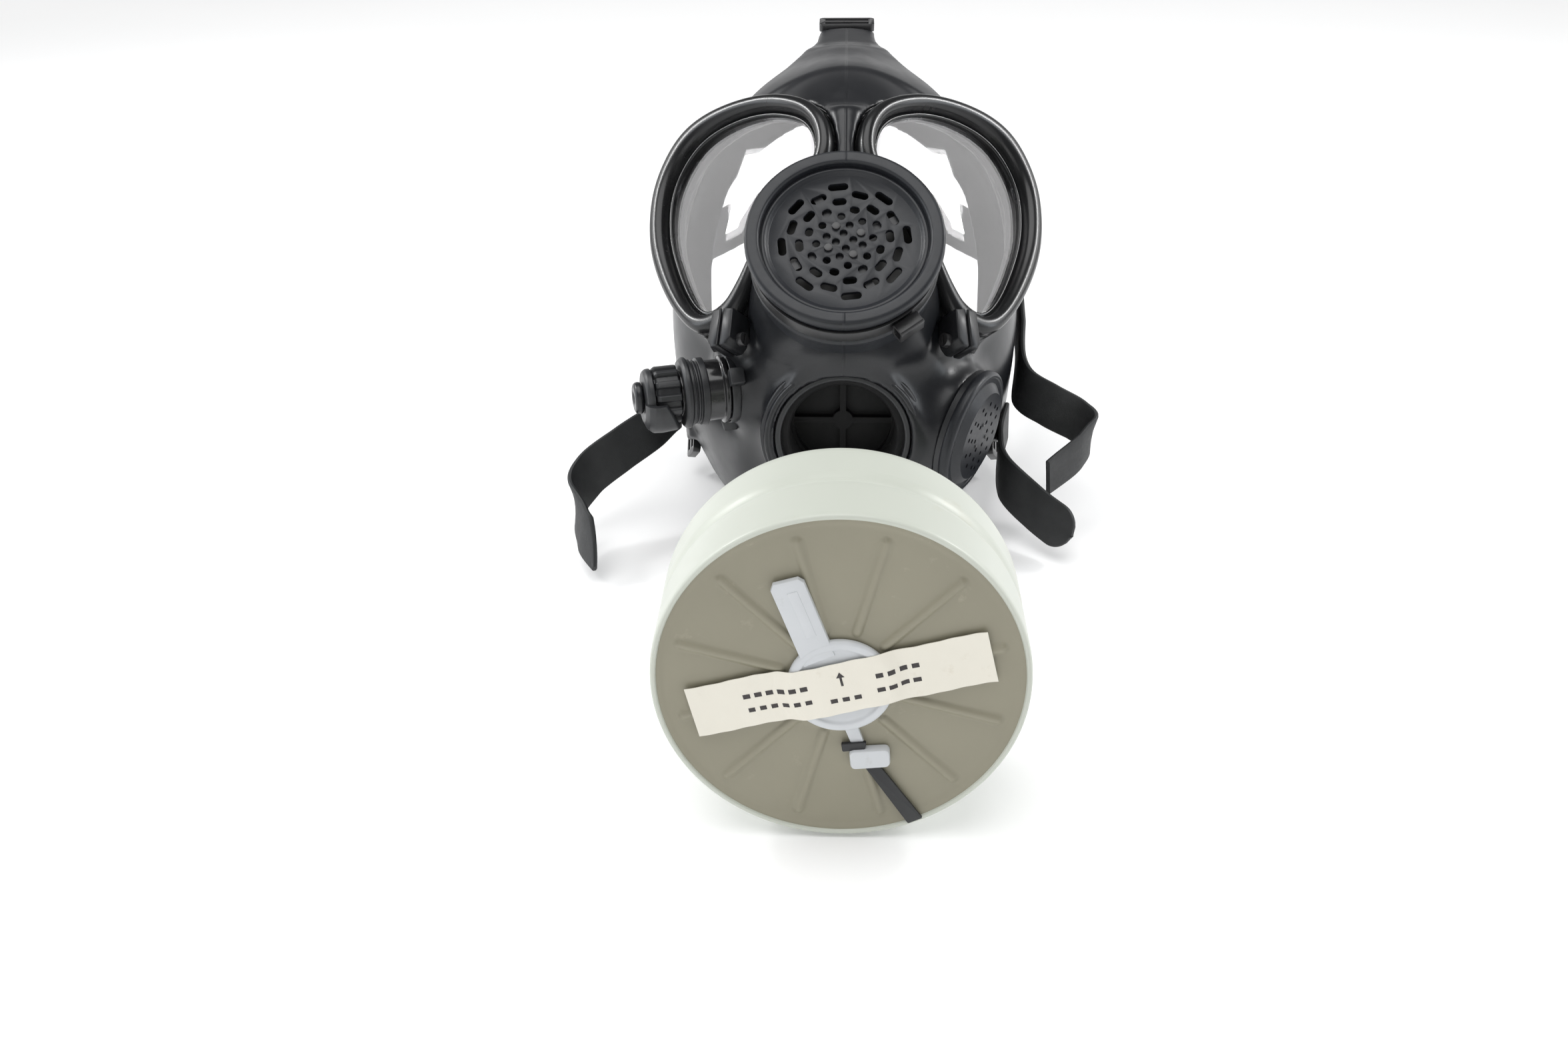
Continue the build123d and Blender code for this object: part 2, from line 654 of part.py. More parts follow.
tail_left = strap_part([(-70.5, 84, -24), (-74, 54, -17), (-104, 24, -28), (-92, -16, -44)], [(0, 0.1, 1), (-0.1, 0.35, 0.93), (-0.1, 0.6, 0.8)], "tail_left", w=TAIL_W)
tail_right_upper = strap_part([(76, 126, 24), (73.5, 66, -6), (99, 50, -16), (80, 24, -27)], [(0, -0.2, 0.98), (0.1, 0.35, 0.93), (0.1, -0.1, 0.98)], "tail_right_upper", w=TAIL_W)
tail_right_lower = strap_part([(70, 82, -28), (63, 36, -32), (90, 4, -43)], [(0, 0.1, 1), (0.1, 0.35, 0.93)], "tail_right_lower", w=TAIL_W)

with BuildPart() as buckle_pair:
    for pl in (mplane((70.5, -88, 112), (0.95, 0.3, 0), (0, 0, 1)), mplane((64.5, -88, 30), (0.95, 0.3, 0), (0, 0, 1))):
        with BuildSketch(pl.offset(-1.6)):
            RectangleRounded(26, 13, 2.0)
            with Locations((0, 3.0), (0, -3.0)):
                Rectangle(20.6, 3.4, mode=Mode.SUBTRACT)
        extrude(amount=3.2)
with BuildPart() as side_buckles:
    add(buckle_pair.part)
    add(buckle_pair.part.mirror(Plane.YZ))
save(side_buckles, "side_buckles")
with BuildPart() as buckle_forehead:
    with BuildSketch(mplane((0, -57.6, 206.2), (0, 0.72, 0.69), (1, 0, 0))):
        RectangleRounded(24, 11, 2.0)
        with Locations((0, 2.4), (0, -2.4)):
            Rectangle(19, 2.8, mode=Mode.SUBTRACT)
    extrude(amount=-3.2)
save(buckle_forehead, "buckle_forehead")

PADY = 205
with BuildPart() as head_pad:
    with BuildSketch(Plane(origin=(0, PADY, 18), x_dir=(1, 0, 0), z_dir=(0, 1, 0.25))):
        RectangleRounded(70, 62, 14)
        with Locations((0, 0)):
            RectangleRounded(34, 26, 8, mode=Mode.SUBTRACT)
    extrude(amount=2.6)
save(head_pad, "head_pad")


def behind(a, b, side, label, w=18.0):
    return strap_part([a, b], [side], label, w=w, lap=0)


def mirrored(part, label):
    with BuildPart() as mm:
        add(part.part.mirror(Plane.YZ))
    save(mm, label)


s1 = behind((0, 184.5, 119), (0, 204.0, 52), (1, 0, 0), "strap_forehead", w=17)
s2 = behind((67, 149, 26.5), (36.5, 203, 30), (0, 0.1, 1), "strap_temple_right")
mirrored(s2, "strap_temple_left")
s3 = behind((61, 101, -31), (36.5, 206, 2), (0, 0.2, 1), "strap_cheek_right")
mirrored(s3, "strap_cheek_left")

# ---------------------------------------------------------------- canister, lying in front of the port
with BuildPart() as canister_can:
    with BuildSketch(prof(PORT)):
        with BuildLine():
            Polyline((22.2, 112), (46, 114.3), (51, 116.6), (53.5, 120.5), (53.5, 135.5), (52.6, 137.5), (52.6, 139.5), (53.5, 141.5),
                     (53.5, 160.2), (52.9, 161), (52.3, 160.6), (52.3, 141.8), (51.4, 139.8), (51.4, 137.2), (52.3, 135.2), (52.3, 121),
                     (50.4, 117.8), (45.8, 115.4), (22.2, 113.1), close=True)
        make_face()
    revolve(axis=axis(PORT))
save(canister_can, "canister_can")
with BuildPart() as canister_base:
    with BuildSketch(PORT.offset(159.2)):
        Circle(52.2)
        Circle(13.0, mode=Mode.SUBTRACT)
    extrude(amount=1.1)
    with BuildSketch(PORT.offset(160.3)):
        with PolarLocations(31.5, 12, start_angle=15):
            SlotOverall(30, 2.4)
    extrude(amount=0.7)
save(canister_base, "canister_base")
with BuildPart() as canister_neck:
    with BuildSketch(prof(PORT)):
        with BuildLine():
            Polyline((16.8, 78), (18.8, 78), (19.5, 78.8), (19.5, 110.4), (22.1, 110.4), (22.1, 113), (16.8, 113), close=True)
        make_face()
    revolve(axis=axis(PORT))
save(canister_neck, "canister_neck")
with BuildPart() as canister_gasket:
    with BuildSketch(PORT.offset(108.8)):
        Circle(24.2)
        Circle(19.6, mode=Mode.SUBTRACT)
    extrude(amount=1.5)
save(canister_gasket, "canister_gasket")
with BuildPart() as particulate_filter:
    with BuildSketch(PORT.offset(118.6)):
        Circle(50.2)
    extrude(amount=9.6)
save(particulate_filter, "particulate_filter")
with BuildPart() as bed_screens:
    for h in (128.6, 155.8):
        with BuildSketch(PORT.offset(h)):
            Circle(51.2)
        extrude(amount=0.8)
save(bed_screens, "bed_screens")
with BuildPart() as carbon_bed:
    with BuildSketch(PORT.offset(129.6)):
        Circle(51.2)
    extrude(amount=26.0)
save(carbon_bed, "carbon_bed")
with BuildPart() as canister_plug:
    with BuildSketch(prof(PORT)):
        with BuildLine():
            Polyline((0, 157.4), (12.7, 157.4), (12.7, 160.6), (13.8, 160.6), (13.8, 163.0), (11.6, 163.0), (11.6, 161.8), (0, 161.8), close=True)
        make_face()
    revolve(axis=axis(PORT))
    with BuildSketch(PORT.offset(161.4)):
        with BuildLine():
            Polyline((-8.2, 9.5), (-16.9, 34.9), (-16.4, 37.4), (-10.3, 39.2), (-9.0, 37.2), (-1.8, 12.0), close=True)
        make_face()
    extrude(amount=1.4)
save(canister_plug, "canister_plug")
T14 = math.radians(13.5)
STRIP = Plane(origin=(0, 0, 0), x_dir=(math.cos(T14), 0, math.sin(T14)), z_dir=(-math.sin(T14), 0, math.cos(T14)))
with BuildPart() as seal_strip:
    with BuildSketch(STRIP.offset(-8.2)):
        with BuildLine():
            Polyline((-43, -161.2), (-19, -161.2), (-15, -163.1), (15, -163.1), (19, -161.2), (43, -161.2),
                     (43, -161.6), (18.9, -161.6), (14.9, -163.5), (-14.9, -163.5), (-18.9, -161.6), (-43, -161.6), close=True)
        make_face()
    extrude(amount=16.4)
save(seal_strip, "seal_strip")
with BuildPart() as strip_lug:
    with BuildSketch(PORT.offset(161.1)):
        with Locations((8.5, -24.5)):
            RectangleRounded(12.5, 8.0, 2.0)
    extrude(amount=1.8)
save(strip_lug, "strip_lug")
with BuildPart() as retaining_strip:
    with BuildSketch(PORT.offset(161.1)):
        with BuildLine():
            Polyline((6.4, -28.7), (12.6, -28.7), (25.0, -45.2), (18.6, -48.0), close=True)
        make_face()
    extrude(amount=0.8)
save(retaining_strip, "retaining_strip")
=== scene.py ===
import bpy, bmesh, math, json
import numpy as np
from mathutils import Vector, Matrix


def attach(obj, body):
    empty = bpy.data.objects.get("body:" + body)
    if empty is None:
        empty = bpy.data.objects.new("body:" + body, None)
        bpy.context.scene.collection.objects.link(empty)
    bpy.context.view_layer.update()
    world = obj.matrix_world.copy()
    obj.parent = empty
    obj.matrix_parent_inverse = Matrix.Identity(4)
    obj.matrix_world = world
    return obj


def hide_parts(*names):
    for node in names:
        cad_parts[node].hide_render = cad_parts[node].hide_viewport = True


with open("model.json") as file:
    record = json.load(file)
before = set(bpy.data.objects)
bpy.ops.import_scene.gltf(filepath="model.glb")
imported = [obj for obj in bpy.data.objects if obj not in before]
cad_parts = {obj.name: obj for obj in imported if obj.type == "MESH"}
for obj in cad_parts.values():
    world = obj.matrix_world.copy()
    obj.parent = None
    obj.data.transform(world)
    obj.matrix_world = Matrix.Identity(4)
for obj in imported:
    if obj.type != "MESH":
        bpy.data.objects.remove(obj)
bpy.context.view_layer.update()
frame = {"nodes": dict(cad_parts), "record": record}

# ------------------------------------------------------------------ camera
YAW, DEP, ROLL = math.radians(2.5), math.radians(28.0), math.radians(0.6)
F = Vector((-math.sin(YAW) * math.cos(DEP), math.cos(YAW) * math.cos(DEP), -math.sin(DEP)))
R0 = Vector((math.cos(YAW), math.sin(YAW), 0.0))
D0 = F.cross(R0)
Rt = R0 * math.cos(ROLL) + D0 * math.sin(ROLL)
Dn = D0 * math.cos(ROLL) - R0 * math.sin(ROLL)
cam_data = bpy.data.cameras.new("camera")
cam = bpy.data.objects.new("camera", cam_data)
bpy.context.scene.collection.objects.link(cam)
cam_data.sensor_width = 36.0
cam_data.lens = 34.44
cam_data.clip_start = 0.01
mw = Matrix.Identity(4)
for i, v in enumerate((Rt, -Dn, -F, Vector((0.0, -0.509, 0.236)))):
    for j in range(3):
        mw[j][i] = v[j]
cam.matrix_world = mw
bpy.context.scene.camera = cam

# ------------------------------------------------------------------ frames, in millimetres
S, C = math.sin(math.radians(40)), math.cos(math.radians(40))


def mv(x, f, u):
    return np.array([x, -C * f + S * u, S * f + C * u], float)


MAT_M = np.stack([mv(1, 0, 0), mv(0, 1, 0), mv(0, 0, 1)], 1)   # face frame (across, forward, up) to row


class Pl:
    def __init__(self, o, z, x):
        self.o = np.array(o, float)
        self.z = np.array(z, float) / np.linalg.norm(z)
        x = np.array(x, float)
        x = x - self.z * (x @ self.z)
        self.x = x / np.linalg.norm(x)
        self.y = np.cross(self.z, self.x)

    def pts(self, a):
        a = np.asarray(a, float)
        return self.o + a[..., 0:1] * self.x + a[..., 1:2] * self.y + a[..., 2:3] * self.z

    def loc(self, p):
        d = p - self.o
        return d @ self.x, d @ self.y, d @ self.z


D9, BB, GG, A17 = math.radians(9), math.radians(35), math.radians(8), math.radians(17)
PORT = Pl((0, 0, 0), (0, -1, 0), (1, 0, 0))
DIA = Pl(mv(0, 52, 60), mv(0, math.cos(D9), math.sin(D9)), (1, 0, 0))
LENS = Pl(mv(13, 22, 113), mv(math.sin(BB) * math.cos(GG), math.cos(BB) * math.cos(GG), math.sin(GG)),
          mv(math.cos(BB), -math.sin(BB), 0))
DRINK = Pl((-34, 26, 11.2), (-math.cos(A17), -math.sin(A17), 0), (math.sin(A17), -math.cos(A17), 0))
EXH = Pl((44.5, 20, -3.5), (0.873, -0.4647, -0.146), (0.47, 0.883, 0))

RIM_OUT = [(-9, -8), (-6, 5), (4, 16.5), (20, 24.5), (38, 27.7), (56, 26.5), (69, 20), (77, 6), (79.3, -10),
           (76, -30), (67, -49), (54, -66), (42, -73.5), (30, -71), (22.5, -60), (18.5, -48), (13.5, -38), (6, -30), (-2, -22), (-7.5, -14)]
GLASS = [(0, -5), (4, 5), (12, 12), (26, 17.5), (42, 18.5), (56, 14.5), (65, 5), (69, -8), (67, -25),
         (60, -42), (51, -57), (43, -63.5), (35, -60.5), (28.5, -51), (23.5, -41), (17, -31), (9, -22), (2, -13)]


def closed_curve(pts, n):
    """n points on a smooth closed curve through pts, evenly spaced along it."""
    p = np.array(pts, float)
    k = len(p)
    out = []
    for i in range(k):
        p0, p1, p2, p3 = p[i - 1], p[i], p[(i + 1) % k], p[(i + 2) % k]
        t = np.linspace(0, 1, 24, endpoint=False)[:, None]
        out.append(0.5 * ((2 * p1) + (-p0 + p2) * t + (2 * p0 - 5 * p1 + 4 * p2 - p3) * t ** 2 + (-p0 + 3 * p1 - 3 * p2 + p3) * t ** 3))
    q = np.concatenate(out)
    q = np.concatenate([q, q[:1]])
    for _ in range(6):
        q[1:-1] = 0.25 * q[:-2] + 0.5 * q[1:-1] + 0.25 * q[2:]
    s = np.concatenate([[0], np.cumsum(np.linalg.norm(np.diff(q, axis=0), axis=1))])
    ss = np.linspace(0, s[-1], n, endpoint=False)
    return np.stack([np.interp(ss, s, q[:, 0]), np.interp(ss, s, q[:, 1])], 1)


def normals2(c):
    t = np.roll(c, -1, 0) - np.roll(c, 1, 0)
    t /= np.linalg.norm(t, axis=1)[:, None]
    area = 0.5 * np.sum(c[:, 0] * np.roll(c[:, 1], -1) - np.roll(c[:, 0], -1) * c[:, 1])
    nn = np.stack([t[:, 1], -t[:, 0]], 1)
    return nn if area > 0 else -nn


# ------------------------------------------------------------------ materials
def node_mat(name, base, rough=0.45, metal=0.0, var=0.12, rvar=0.1, scale=220.0, bump=0.15, bscale=900.0, bdist=0.00015,
             coat=0.0, coat_rough=0.2, spec=0.5, sheen=0.0, seam=False, alpha=1.0, streak=None, dust=None):
    mt = bpy.data.materials.new(name)
    mt.use_nodes = True
    nt = mt.node_tree
    nd, lk = nt.nodes, nt.links
    bs = nd["Principled BSDF"]
    tc = nd.new("ShaderNodeTexCoord")
    n1 = nd.new("ShaderNodeTexNoise")
    n1.inputs["Scale"].default_value = scale * 0.25
    n1.inputs["Detail"].default_value = 6
    lk.new(tc.outputs["Object"], n1.inputs["Vector"])
    mix = nd.new("ShaderNodeMix")
    mix.data_type = "RGBA"
    b = np.array(base[:3])
    lo, hi = b * (1 - var), np.clip(b * (1 + var) + (0.004 * var / 0.12), 0, 1)
    mix.inputs[6].default_value = (*lo, 1)
    mix.inputs[7].default_value = (*hi, 1)
    lk.new(n1.outputs["Fac"], mix.inputs[0])
    last = mix.outputs[2]
    if dust:
        # pale dust that settles on faces that look up
        ge = nd.new("ShaderNodeNewGeometry")
        sx = nd.new("ShaderNodeSeparateXYZ")
        lk.new(ge.outputs["Normal"], sx.inputs[0])
        mr = nd.new("ShaderNodeMapRange")
        mr.inputs["From Min"].default_value = 0.2
        mr.inputs["From Max"].default_value = 1.0
        mr.inputs["To Max"].default_value = dust
        lk.new(sx.outputs["Z"], mr.inputs["Value"])
        n3 = nd.new("ShaderNodeTexNoise")
        n3.inputs["Scale"].default_value = 60
        n3.inputs["Detail"].default_value = 8
        lk.new(tc.outputs["Object"], n3.inputs["Vector"])
        mu = nd.new("ShaderNodeMath")
        mu.operation = "MULTIPLY"
        lk.new(mr.outputs[0], mu.inputs[0])
        lk.new(n3.outputs["Fac"], mu.inputs[1])
        m2 = nd.new("ShaderNodeMix")
        m2.data_type = "RGBA"
        lk.new(mu.outputs[0], m2.inputs[0])
        lk.new(last, m2.inputs[6])
        m2.inputs[7].default_value = (0.35, 0.36, 0.38, 1)
        last = m2.outputs[2]
    if streak:
        n4 = nd.new("ShaderNodeTexNoise")
        n4.inputs["Scale"].default_value = streak[1]
        n4.inputs["Detail"].default_value = 10
        n4.inputs["Roughness"].default_value = 0.7
        lk.new(tc.outputs["Object"], n4.inputs["Vector"])
        cr = nd.new("ShaderNodeMapRange")
        cr.inputs["From Min"].default_value = streak[2]
        cr.inputs["From Max"].default_value = streak[2] + 0.12
        cr.inputs["To Max"].default_value = streak[3]
        lk.new(n4.outputs["Fac"], cr.inputs["Value"])
        m3 = nd.new("ShaderNodeMix")
        m3.data_type = "RGBA"
        lk.new(cr.outputs[0], m3.inputs[0])
        lk.new(last, m3.inputs[6])
        m3.inputs[7].default_value = (*streak[0], 1)
        last = m3.outputs[2]
    lk.new(last, bs.inputs["Base Color"])
    mr2 = nd.new("ShaderNodeMapRange")
    mr2.inputs["To Min"].default_value = max(0.02, rough - rvar)
    mr2.inputs["To Max"].default_value = min(1.0, rough + rvar)
    n2 = nd.new("ShaderNodeTexNoise")
    n2.inputs["Scale"].default_value = scale
    n2.inputs["Detail"].default_value = 5
    lk.new(tc.outputs["Object"], n2.inputs["Vector"])
    lk.new(n2.outputs["Fac"], mr2.inputs["Value"])
    lk.new(mr2.outputs[0], bs.inputs["Roughness"])
    bs.inputs["Metallic"].default_value = metal
    bs.inputs["Specular IOR Level"].default_value = spec
    bs.inputs["Coat Weight"].default_value = coat
    bs.inputs["Coat Roughness"].default_value = coat_rough
    if sheen:
        bs.inputs["Sheen Weight"].default_value = sheen
        bs.inputs["Sheen Roughness"].default_value = 0.5
    nb = nd.new("ShaderNodeTexNoise")
    nb.inputs["Scale"].default_value = bscale
    nb.inputs["Detail"].default_value = 4
    lk.new(tc.outputs["Object"], nb.inputs["Vector"])
    bp = nd.new("ShaderNodeBump")
    bp.inputs["Strength"].default_value = bump
    bp.inputs["Distance"].default_value = bdist
    lk.new(nb.outputs["Fac"], bp.inputs["Height"])
    out = bp.outputs[0]
    if seam:
        # mould parting line down the middle
        sx = nd.new("ShaderNodeSeparateXYZ")
        lk.new(tc.outputs["Object"], sx.inputs[0])
        ab = nd.new("ShaderNodeMath")
        ab.operation = "ABSOLUTE"
        lk.new(sx.outputs["X"], ab.inputs[0])
        mr = nd.new("ShaderNodeMapRange")
        mr.inputs["From Min"].default_value = 0.0
        mr.inputs["From Max"].default_value = 0.0006
        mr.inputs["To Min"].default_value = 1.0
        mr.inputs["To Max"].default_value = 0.0
        lk.new(ab.outputs[0], mr.inputs["Value"])
        b2 = nd.new("ShaderNodeBump")
        b2.inputs["Strength"].default_value = 0.5
        b2.inputs["Distance"].default_value = 0.0004
        lk.new(mr.outputs[0], b2.inputs["Height"])
        lk.new(out, b2.inputs["Normal"])
        out = b2.outputs[0]
    lk.new(out, bs.inputs["Normal"])
    bs.inputs["Alpha"].default_value = alpha
    return mt


M = {
    "mask_rubber": node_mat("mask_rubber", (0.0055, 0.0063, 0.0085), 0.31, spec=0.40, var=0.3, rvar=0.07, scale=160, bump=0.10, bscale=1500, coat=0.06, coat_rough=0.35, seam=True, dust=0.02),
    "flange_rubber": node_mat("flange_rubber", (0.010, 0.0115, 0.015), 0.40, spec=0.40, var=0.2, rvar=0.08, scale=400, bump=0.2, bscale=2600, seam=True, dust=0.02),
    "inner_rubber": node_mat("inner_rubber", (0.03, 0.03, 0.033), 0.55, var=0.2),
    "valve_rubber": node_mat("valve_rubber", (0.03, 0.03, 0.032), 0.45),
    "strap_rubber": node_mat("strap_rubber", (0.012, 0.013, 0.014), 0.58, var=0.25, scale=700, bump=0.35, bscale=2200, bdist=0.0002),
    "rim_black": node_mat("rim_black", (0.005, 0.0053, 0.006), 0.26, spec=0.38, var=0.3, rvar=0.05, scale=120, bump=0.05, bscale=500, coat=0.08, coat_rough=0.15),
    "clamp_black": node_mat("clamp_black", (0.006, 0.0065, 0.008), 0.34, var=0.3, rvar=0.08, scale=300, bump=0.12, bscale=1500, spec=0.35),
    "deep_black": node_mat("deep_black", (0.004, 0.004, 0.0045), 0.6, var=0.3, bump=0.15, bscale=1500, spec=0.2),
    "plastic_black": node_mat("plastic_black", (0.015, 0.016, 0.018), 0.40, var=0.2, rvar=0.08, scale=500, bump=0.18, bscale=3000),
    "plate_black": node_mat("plate_black", (0.011, 0.0125, 0.016), 0.38, spec=0.40, var=0.15, rvar=0.06, scale=500, bump=0.2, bscale=3000, dust=0.02),
    "gloss_black": node_mat("gloss_black", (0.010, 0.010, 0.011), 0.18, var=0.3, rvar=0.05, scale=200, bump=0.05, bscale=800, coat=0.2, coat_rough=0.1),
    "steel": node_mat("steel", (0.6, 0.6, 0.61), 0.25, metal=1.0, var=0.08, bump=0.05),
    "steel_black": node_mat("steel_black", (0.015, 0.015, 0.016), 0.32, var=0.3, bump=0.12, bscale=1200, coat=0.1),
    "brass": node_mat("brass", (0.50, 0.36, 0.16), 0.35, metal=1.0, var=0.2, bump=0.1),
    "film": node_mat("film", (0.045, 0.045, 0.042), 0.35, var=0.1, bump=0.05),
    "can_paint": node_mat("can_paint", (0.555, 0.580, 0.515), 0.36, var=0.05, rvar=0.05, scale=90, bump=0.08, bscale=900, streak=((0.50, 0.47, 0.36), 40, 0.60, 0.35)),
    "base_paint": node_mat("base_paint", (0.272, 0.255, 0.188), 0.40, var=0.10, rvar=0.08, scale=120, bump=0.18, bscale=1300, streak=((0.42, 0.38, 0.29), 90, 0.62, 0.5)),
    "plug_white": node_mat("plug_white", (0.60, 0.62, 0.64), 0.40, var=0.06, bump=0.1, scale=300, streak=((0.42, 0.42, 0.41), 120, 0.60, 0.35)),
    "paper": node_mat("paper", (0.80, 0.77, 0.68), 0.8, var=0.05, bump=0.25, bscale=1500, scale=200, streak=((0.62, 0.56, 0.44), 150, 0.60, 0.35)),
    "ink": node_mat("ink", (0.05, 0.045, 0.045), 0.8, var=0.2),
    "carbon": node_mat("carbon", (0.02, 0.02, 0.02), 0.8, bump=1.0, bscale=1500, bdist=0.0008),
    "filter_media": node_mat("filter_media", (0.8, 0.8, 0.76), 0.9, bump=0.5),
}
gl = bpy.data.materials.new("lens_clear")
gl.use_nodes = True
_b = gl.node_tree.nodes["Principled BSDF"]
_tc = gl.node_tree.nodes.new("ShaderNodeTexCoord")
_n = gl.node_tree.nodes.new("ShaderNodeTexNoise")
_n.inputs["Scale"].default_value = 90
gl.node_tree.links.new(_tc.outputs["Object"], _n.inputs["Vector"])
_mr = gl.node_tree.nodes.new("ShaderNodeMapRange")
_mr.inputs["To Min"].default_value = 0.0
_mr.inputs["To Max"].default_value = 0.035
gl.node_tree.links.new(_n.outputs["Fac"], _mr.inputs["Value"])
gl.node_tree.links.new(_mr.outputs[0], _b.inputs["Roughness"])
_b.inputs["Base Color"].default_value = (0.80, 0.79, 0.80, 1)
_b.inputs["IOR"].default_value = 1.45
_b.inputs["Transmission Weight"].default_value = 1.0
M["lens_clear"] = gl


# ------------------------------------------------------------------ mesh helpers
def mesh_obj(name, verts, faces, mat, body="mask", rep=(), angle=35, smooth=True, scale=0.001):
    me = bpy.data.meshes.new(name)
    me.from_pydata([tuple(v) for v in (np.asarray(verts, float) * scale)], [], [tuple(int(i) for i in f) for f in faces])
    me.validate()
    bm = bmesh.new()
    bm.from_mesh(me)
    bmesh.ops.remove_doubles(bm, verts=bm.verts, dist=1e-7)
    bmesh.ops.recalc_face_normals(bm, faces=bm.faces)
    bm.to_mesh(me)
    bm.free()
    ob = bpy.data.objects.new(name, me)
    bpy.context.scene.collection.objects.link(ob)
    finish_piece(ob, mat, body, rep, angle, smooth)
    return ob


def finish_piece(ob, mat, body="mask", rep=(), angle=35, smooth=True):
    me = ob.data
    me.materials.clear()
    me.materials.append(M[mat])
    if smooth:
        me.polygons.foreach_set("use_smooth", [True] * len(me.polygons))
        me.set_sharp_from_angle(angle=math.radians(angle))
    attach(ob, body)
    if rep:
        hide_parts(*rep)


def rounded(pts, r=0.5, steps=4, keep=()):
    """A closed profile with its corners rounded by r."""
    p = np.array(pts, float)
    n = len(p)
    out = []
    for i in range(n):
        a, b, c = p[i - 1], p[i], p[(i + 1) % n]
        la, lc = np.linalg.norm(a - b), np.linalg.norm(c - b)
        if i in keep or la < 1e-6 or lc < 1e-6 or b[0] < 1e-6:
            out.append(b)
            continue
        d = min(r, la * 0.45, lc * 0.45)
        s, e = b + (a - b) / la * d, b + (c - b) / lc * d
        for k in range(steps + 1):
            t = k / steps
            out.append((1 - t) ** 2 * s + 2 * t * (1 - t) * b + t * t * e)
    return np.array(out)


def lathe(name, pl, profile, mat, body="mask", rep=(), r=0.5, seg=144, steps=4, mod=None, angle=40, keep=()):
    """Turned piece: profile is a closed outline of (radius, height); mod(angle, radius, height) may move points."""
    pr = rounded(profile, r, steps, keep) if r else np.array(profile, float)
    n = len(pr)
    th = np.linspace(0, 2 * math.pi, seg, endpoint=False)
    rr = np.tile(pr[:, 0], (seg, 1))
    hh = np.tile(pr[:, 1], (seg, 1))
    tt = np.tile(th[:, None], (1, n))
    if mod:
        rr, hh = mod(tt, rr, hh)
    pts = np.stack([rr * np.cos(tt), rr * np.sin(tt), hh], -1).reshape(-1, 3)
    verts = pl.pts(pts)
    faces = []
    for i in range(seg):
        a, b = i * n, ((i + 1) % seg) * n
        for j in range(n):
            k = (j + 1) % n
            if pr[j, 0] < 1e-6 and pr[k, 0] < 1e-6:
                continue
            if pr[j, 0] < 1e-6:
                faces.append((a + j, b + k, a + k))
            elif pr[k, 0] < 1e-6:
                faces.append((a + j, b + j, a + k))
            else:
                faces.append((a + j, b + j, b + k, a + k))
    return mesh_obj(name, verts, faces, mat, body, rep, angle)


def bevel_copy(node, mat, width=0.4, segs=3, body=None, angle=35, lim=40):
    """A copy of a CAD piece with its edges broken."""
    src = frame["nodes"][node]
    me = src.data.copy()
    ob = bpy.data.objects.new(node + ".fine", me)
    bpy.context.scene.collection.objects.link(ob)
    bm = bmesh.new()
    bm.from_mesh(me)
    bmesh.ops.remove_doubles(bm, verts=bm.verts, dist=2e-6)
    bmesh.ops.dissolve_limit(bm, angle_limit=math.radians(2), verts=bm.verts, edges=bm.edges)
    bm.to_mesh(me)
    bm.free()
    mod = ob.modifiers.new("edge", "BEVEL")
    mod.width = width * 0.001
    mod.segments = segs
    mod.limit_method = "ANGLE"
    mod.angle_limit = math.radians(lim)
    mod.harden_normals = False
    dg = bpy.context.evaluated_depsgraph_get()
    me2 = bpy.data.meshes.new_from_object(ob.evaluated_get(dg))
    ob.modifiers.clear()
    ob.data = me2
    b = body or next(k for k, v in frame["record"]["behaviour"]["bodies"].items() if node in v)
    finish_piece(ob, mat, b, (node,), angle)
    return ob


# ------------------------------------------------------------------ signed distance field of the face part
SECT = [
    (-23, [(0, -34), (8, -34.6), (14, -37), (18, -41), (20, -46), (20, -50)]),
    (-14, [(0, -23), (14, -25), (25, -31), (33, -41), (37, -52), (38, -61)]),
    (0, [(0, -8), (18, -11), (32, -21), (42, -36), (48, -56), (50, -76)]),
    (20, [(0, 9), (20, 7), (33, -3), (42, -20), (56, -46), (62, -79)]),
    (32, [(0, 22), (22, 20), (33, 9), (42, -8), (62, -40), (68, -79)]),
    (45, [(0, 29), (22, 26), (33, 14), (45, -6), (66, -40), (71, -80)]),
    (60, [(0, 31), (20, 27), (33, 11), (50, -7), (69, -42), (72, -80)]),
    (80, [(0, 31), (14, 25), (32, 7), (52, -10), (70, -42), (73, -80)]),
    (100, [(0, 25), (12, 17), (30, 4), (52, -14), (70, -44), (73, -79)]),
    (120, [(0, 19), (12, 14), (30, 0), (50, -19), (67, -46), (70, -76)]),
    (140, [(0, 9), (14, 5), (30, -8), (45, -22), (58, -44), (63, -70)]),
    (157, [(0, -6), (12, -9), (26, -19), (36, -30), (44, -46), (46, -62)]),
    (168, [(0, -20), (8, -21.5), (17, -28), (23, -36), (28, -48), (28, -57)]),
    (178, [(0, -31), (6, -32), (13, -36), (17, -42), (20, -50), (20, -56)]),
]


def catmull(vals, xs, x):
    """Smooth interpolation of rows vals at xs to the points x."""
    vals = np.asarray(vals, float)
    g = np.gradient(vals, xs, axis=0)
    i = np.clip(np.searchsorted(xs, x) - 1, 0, len(xs) - 2)
    h = (xs[i + 1] - xs[i])
    t = (x - xs[i]) / h
    sh = (-1,) + (1,) * (vals.ndim - 1)
    t, h = t.reshape(sh), h.reshape(sh)
    return ((2 * t ** 3 - 3 * t ** 2 + 1) * vals[i] + (t ** 3 - 2 * t ** 2 + t) * h * g[i]
            + (-2 * t ** 3 + 3 * t ** 2) * vals[i + 1] + (t ** 3 - t ** 2) * h * g[i + 1])


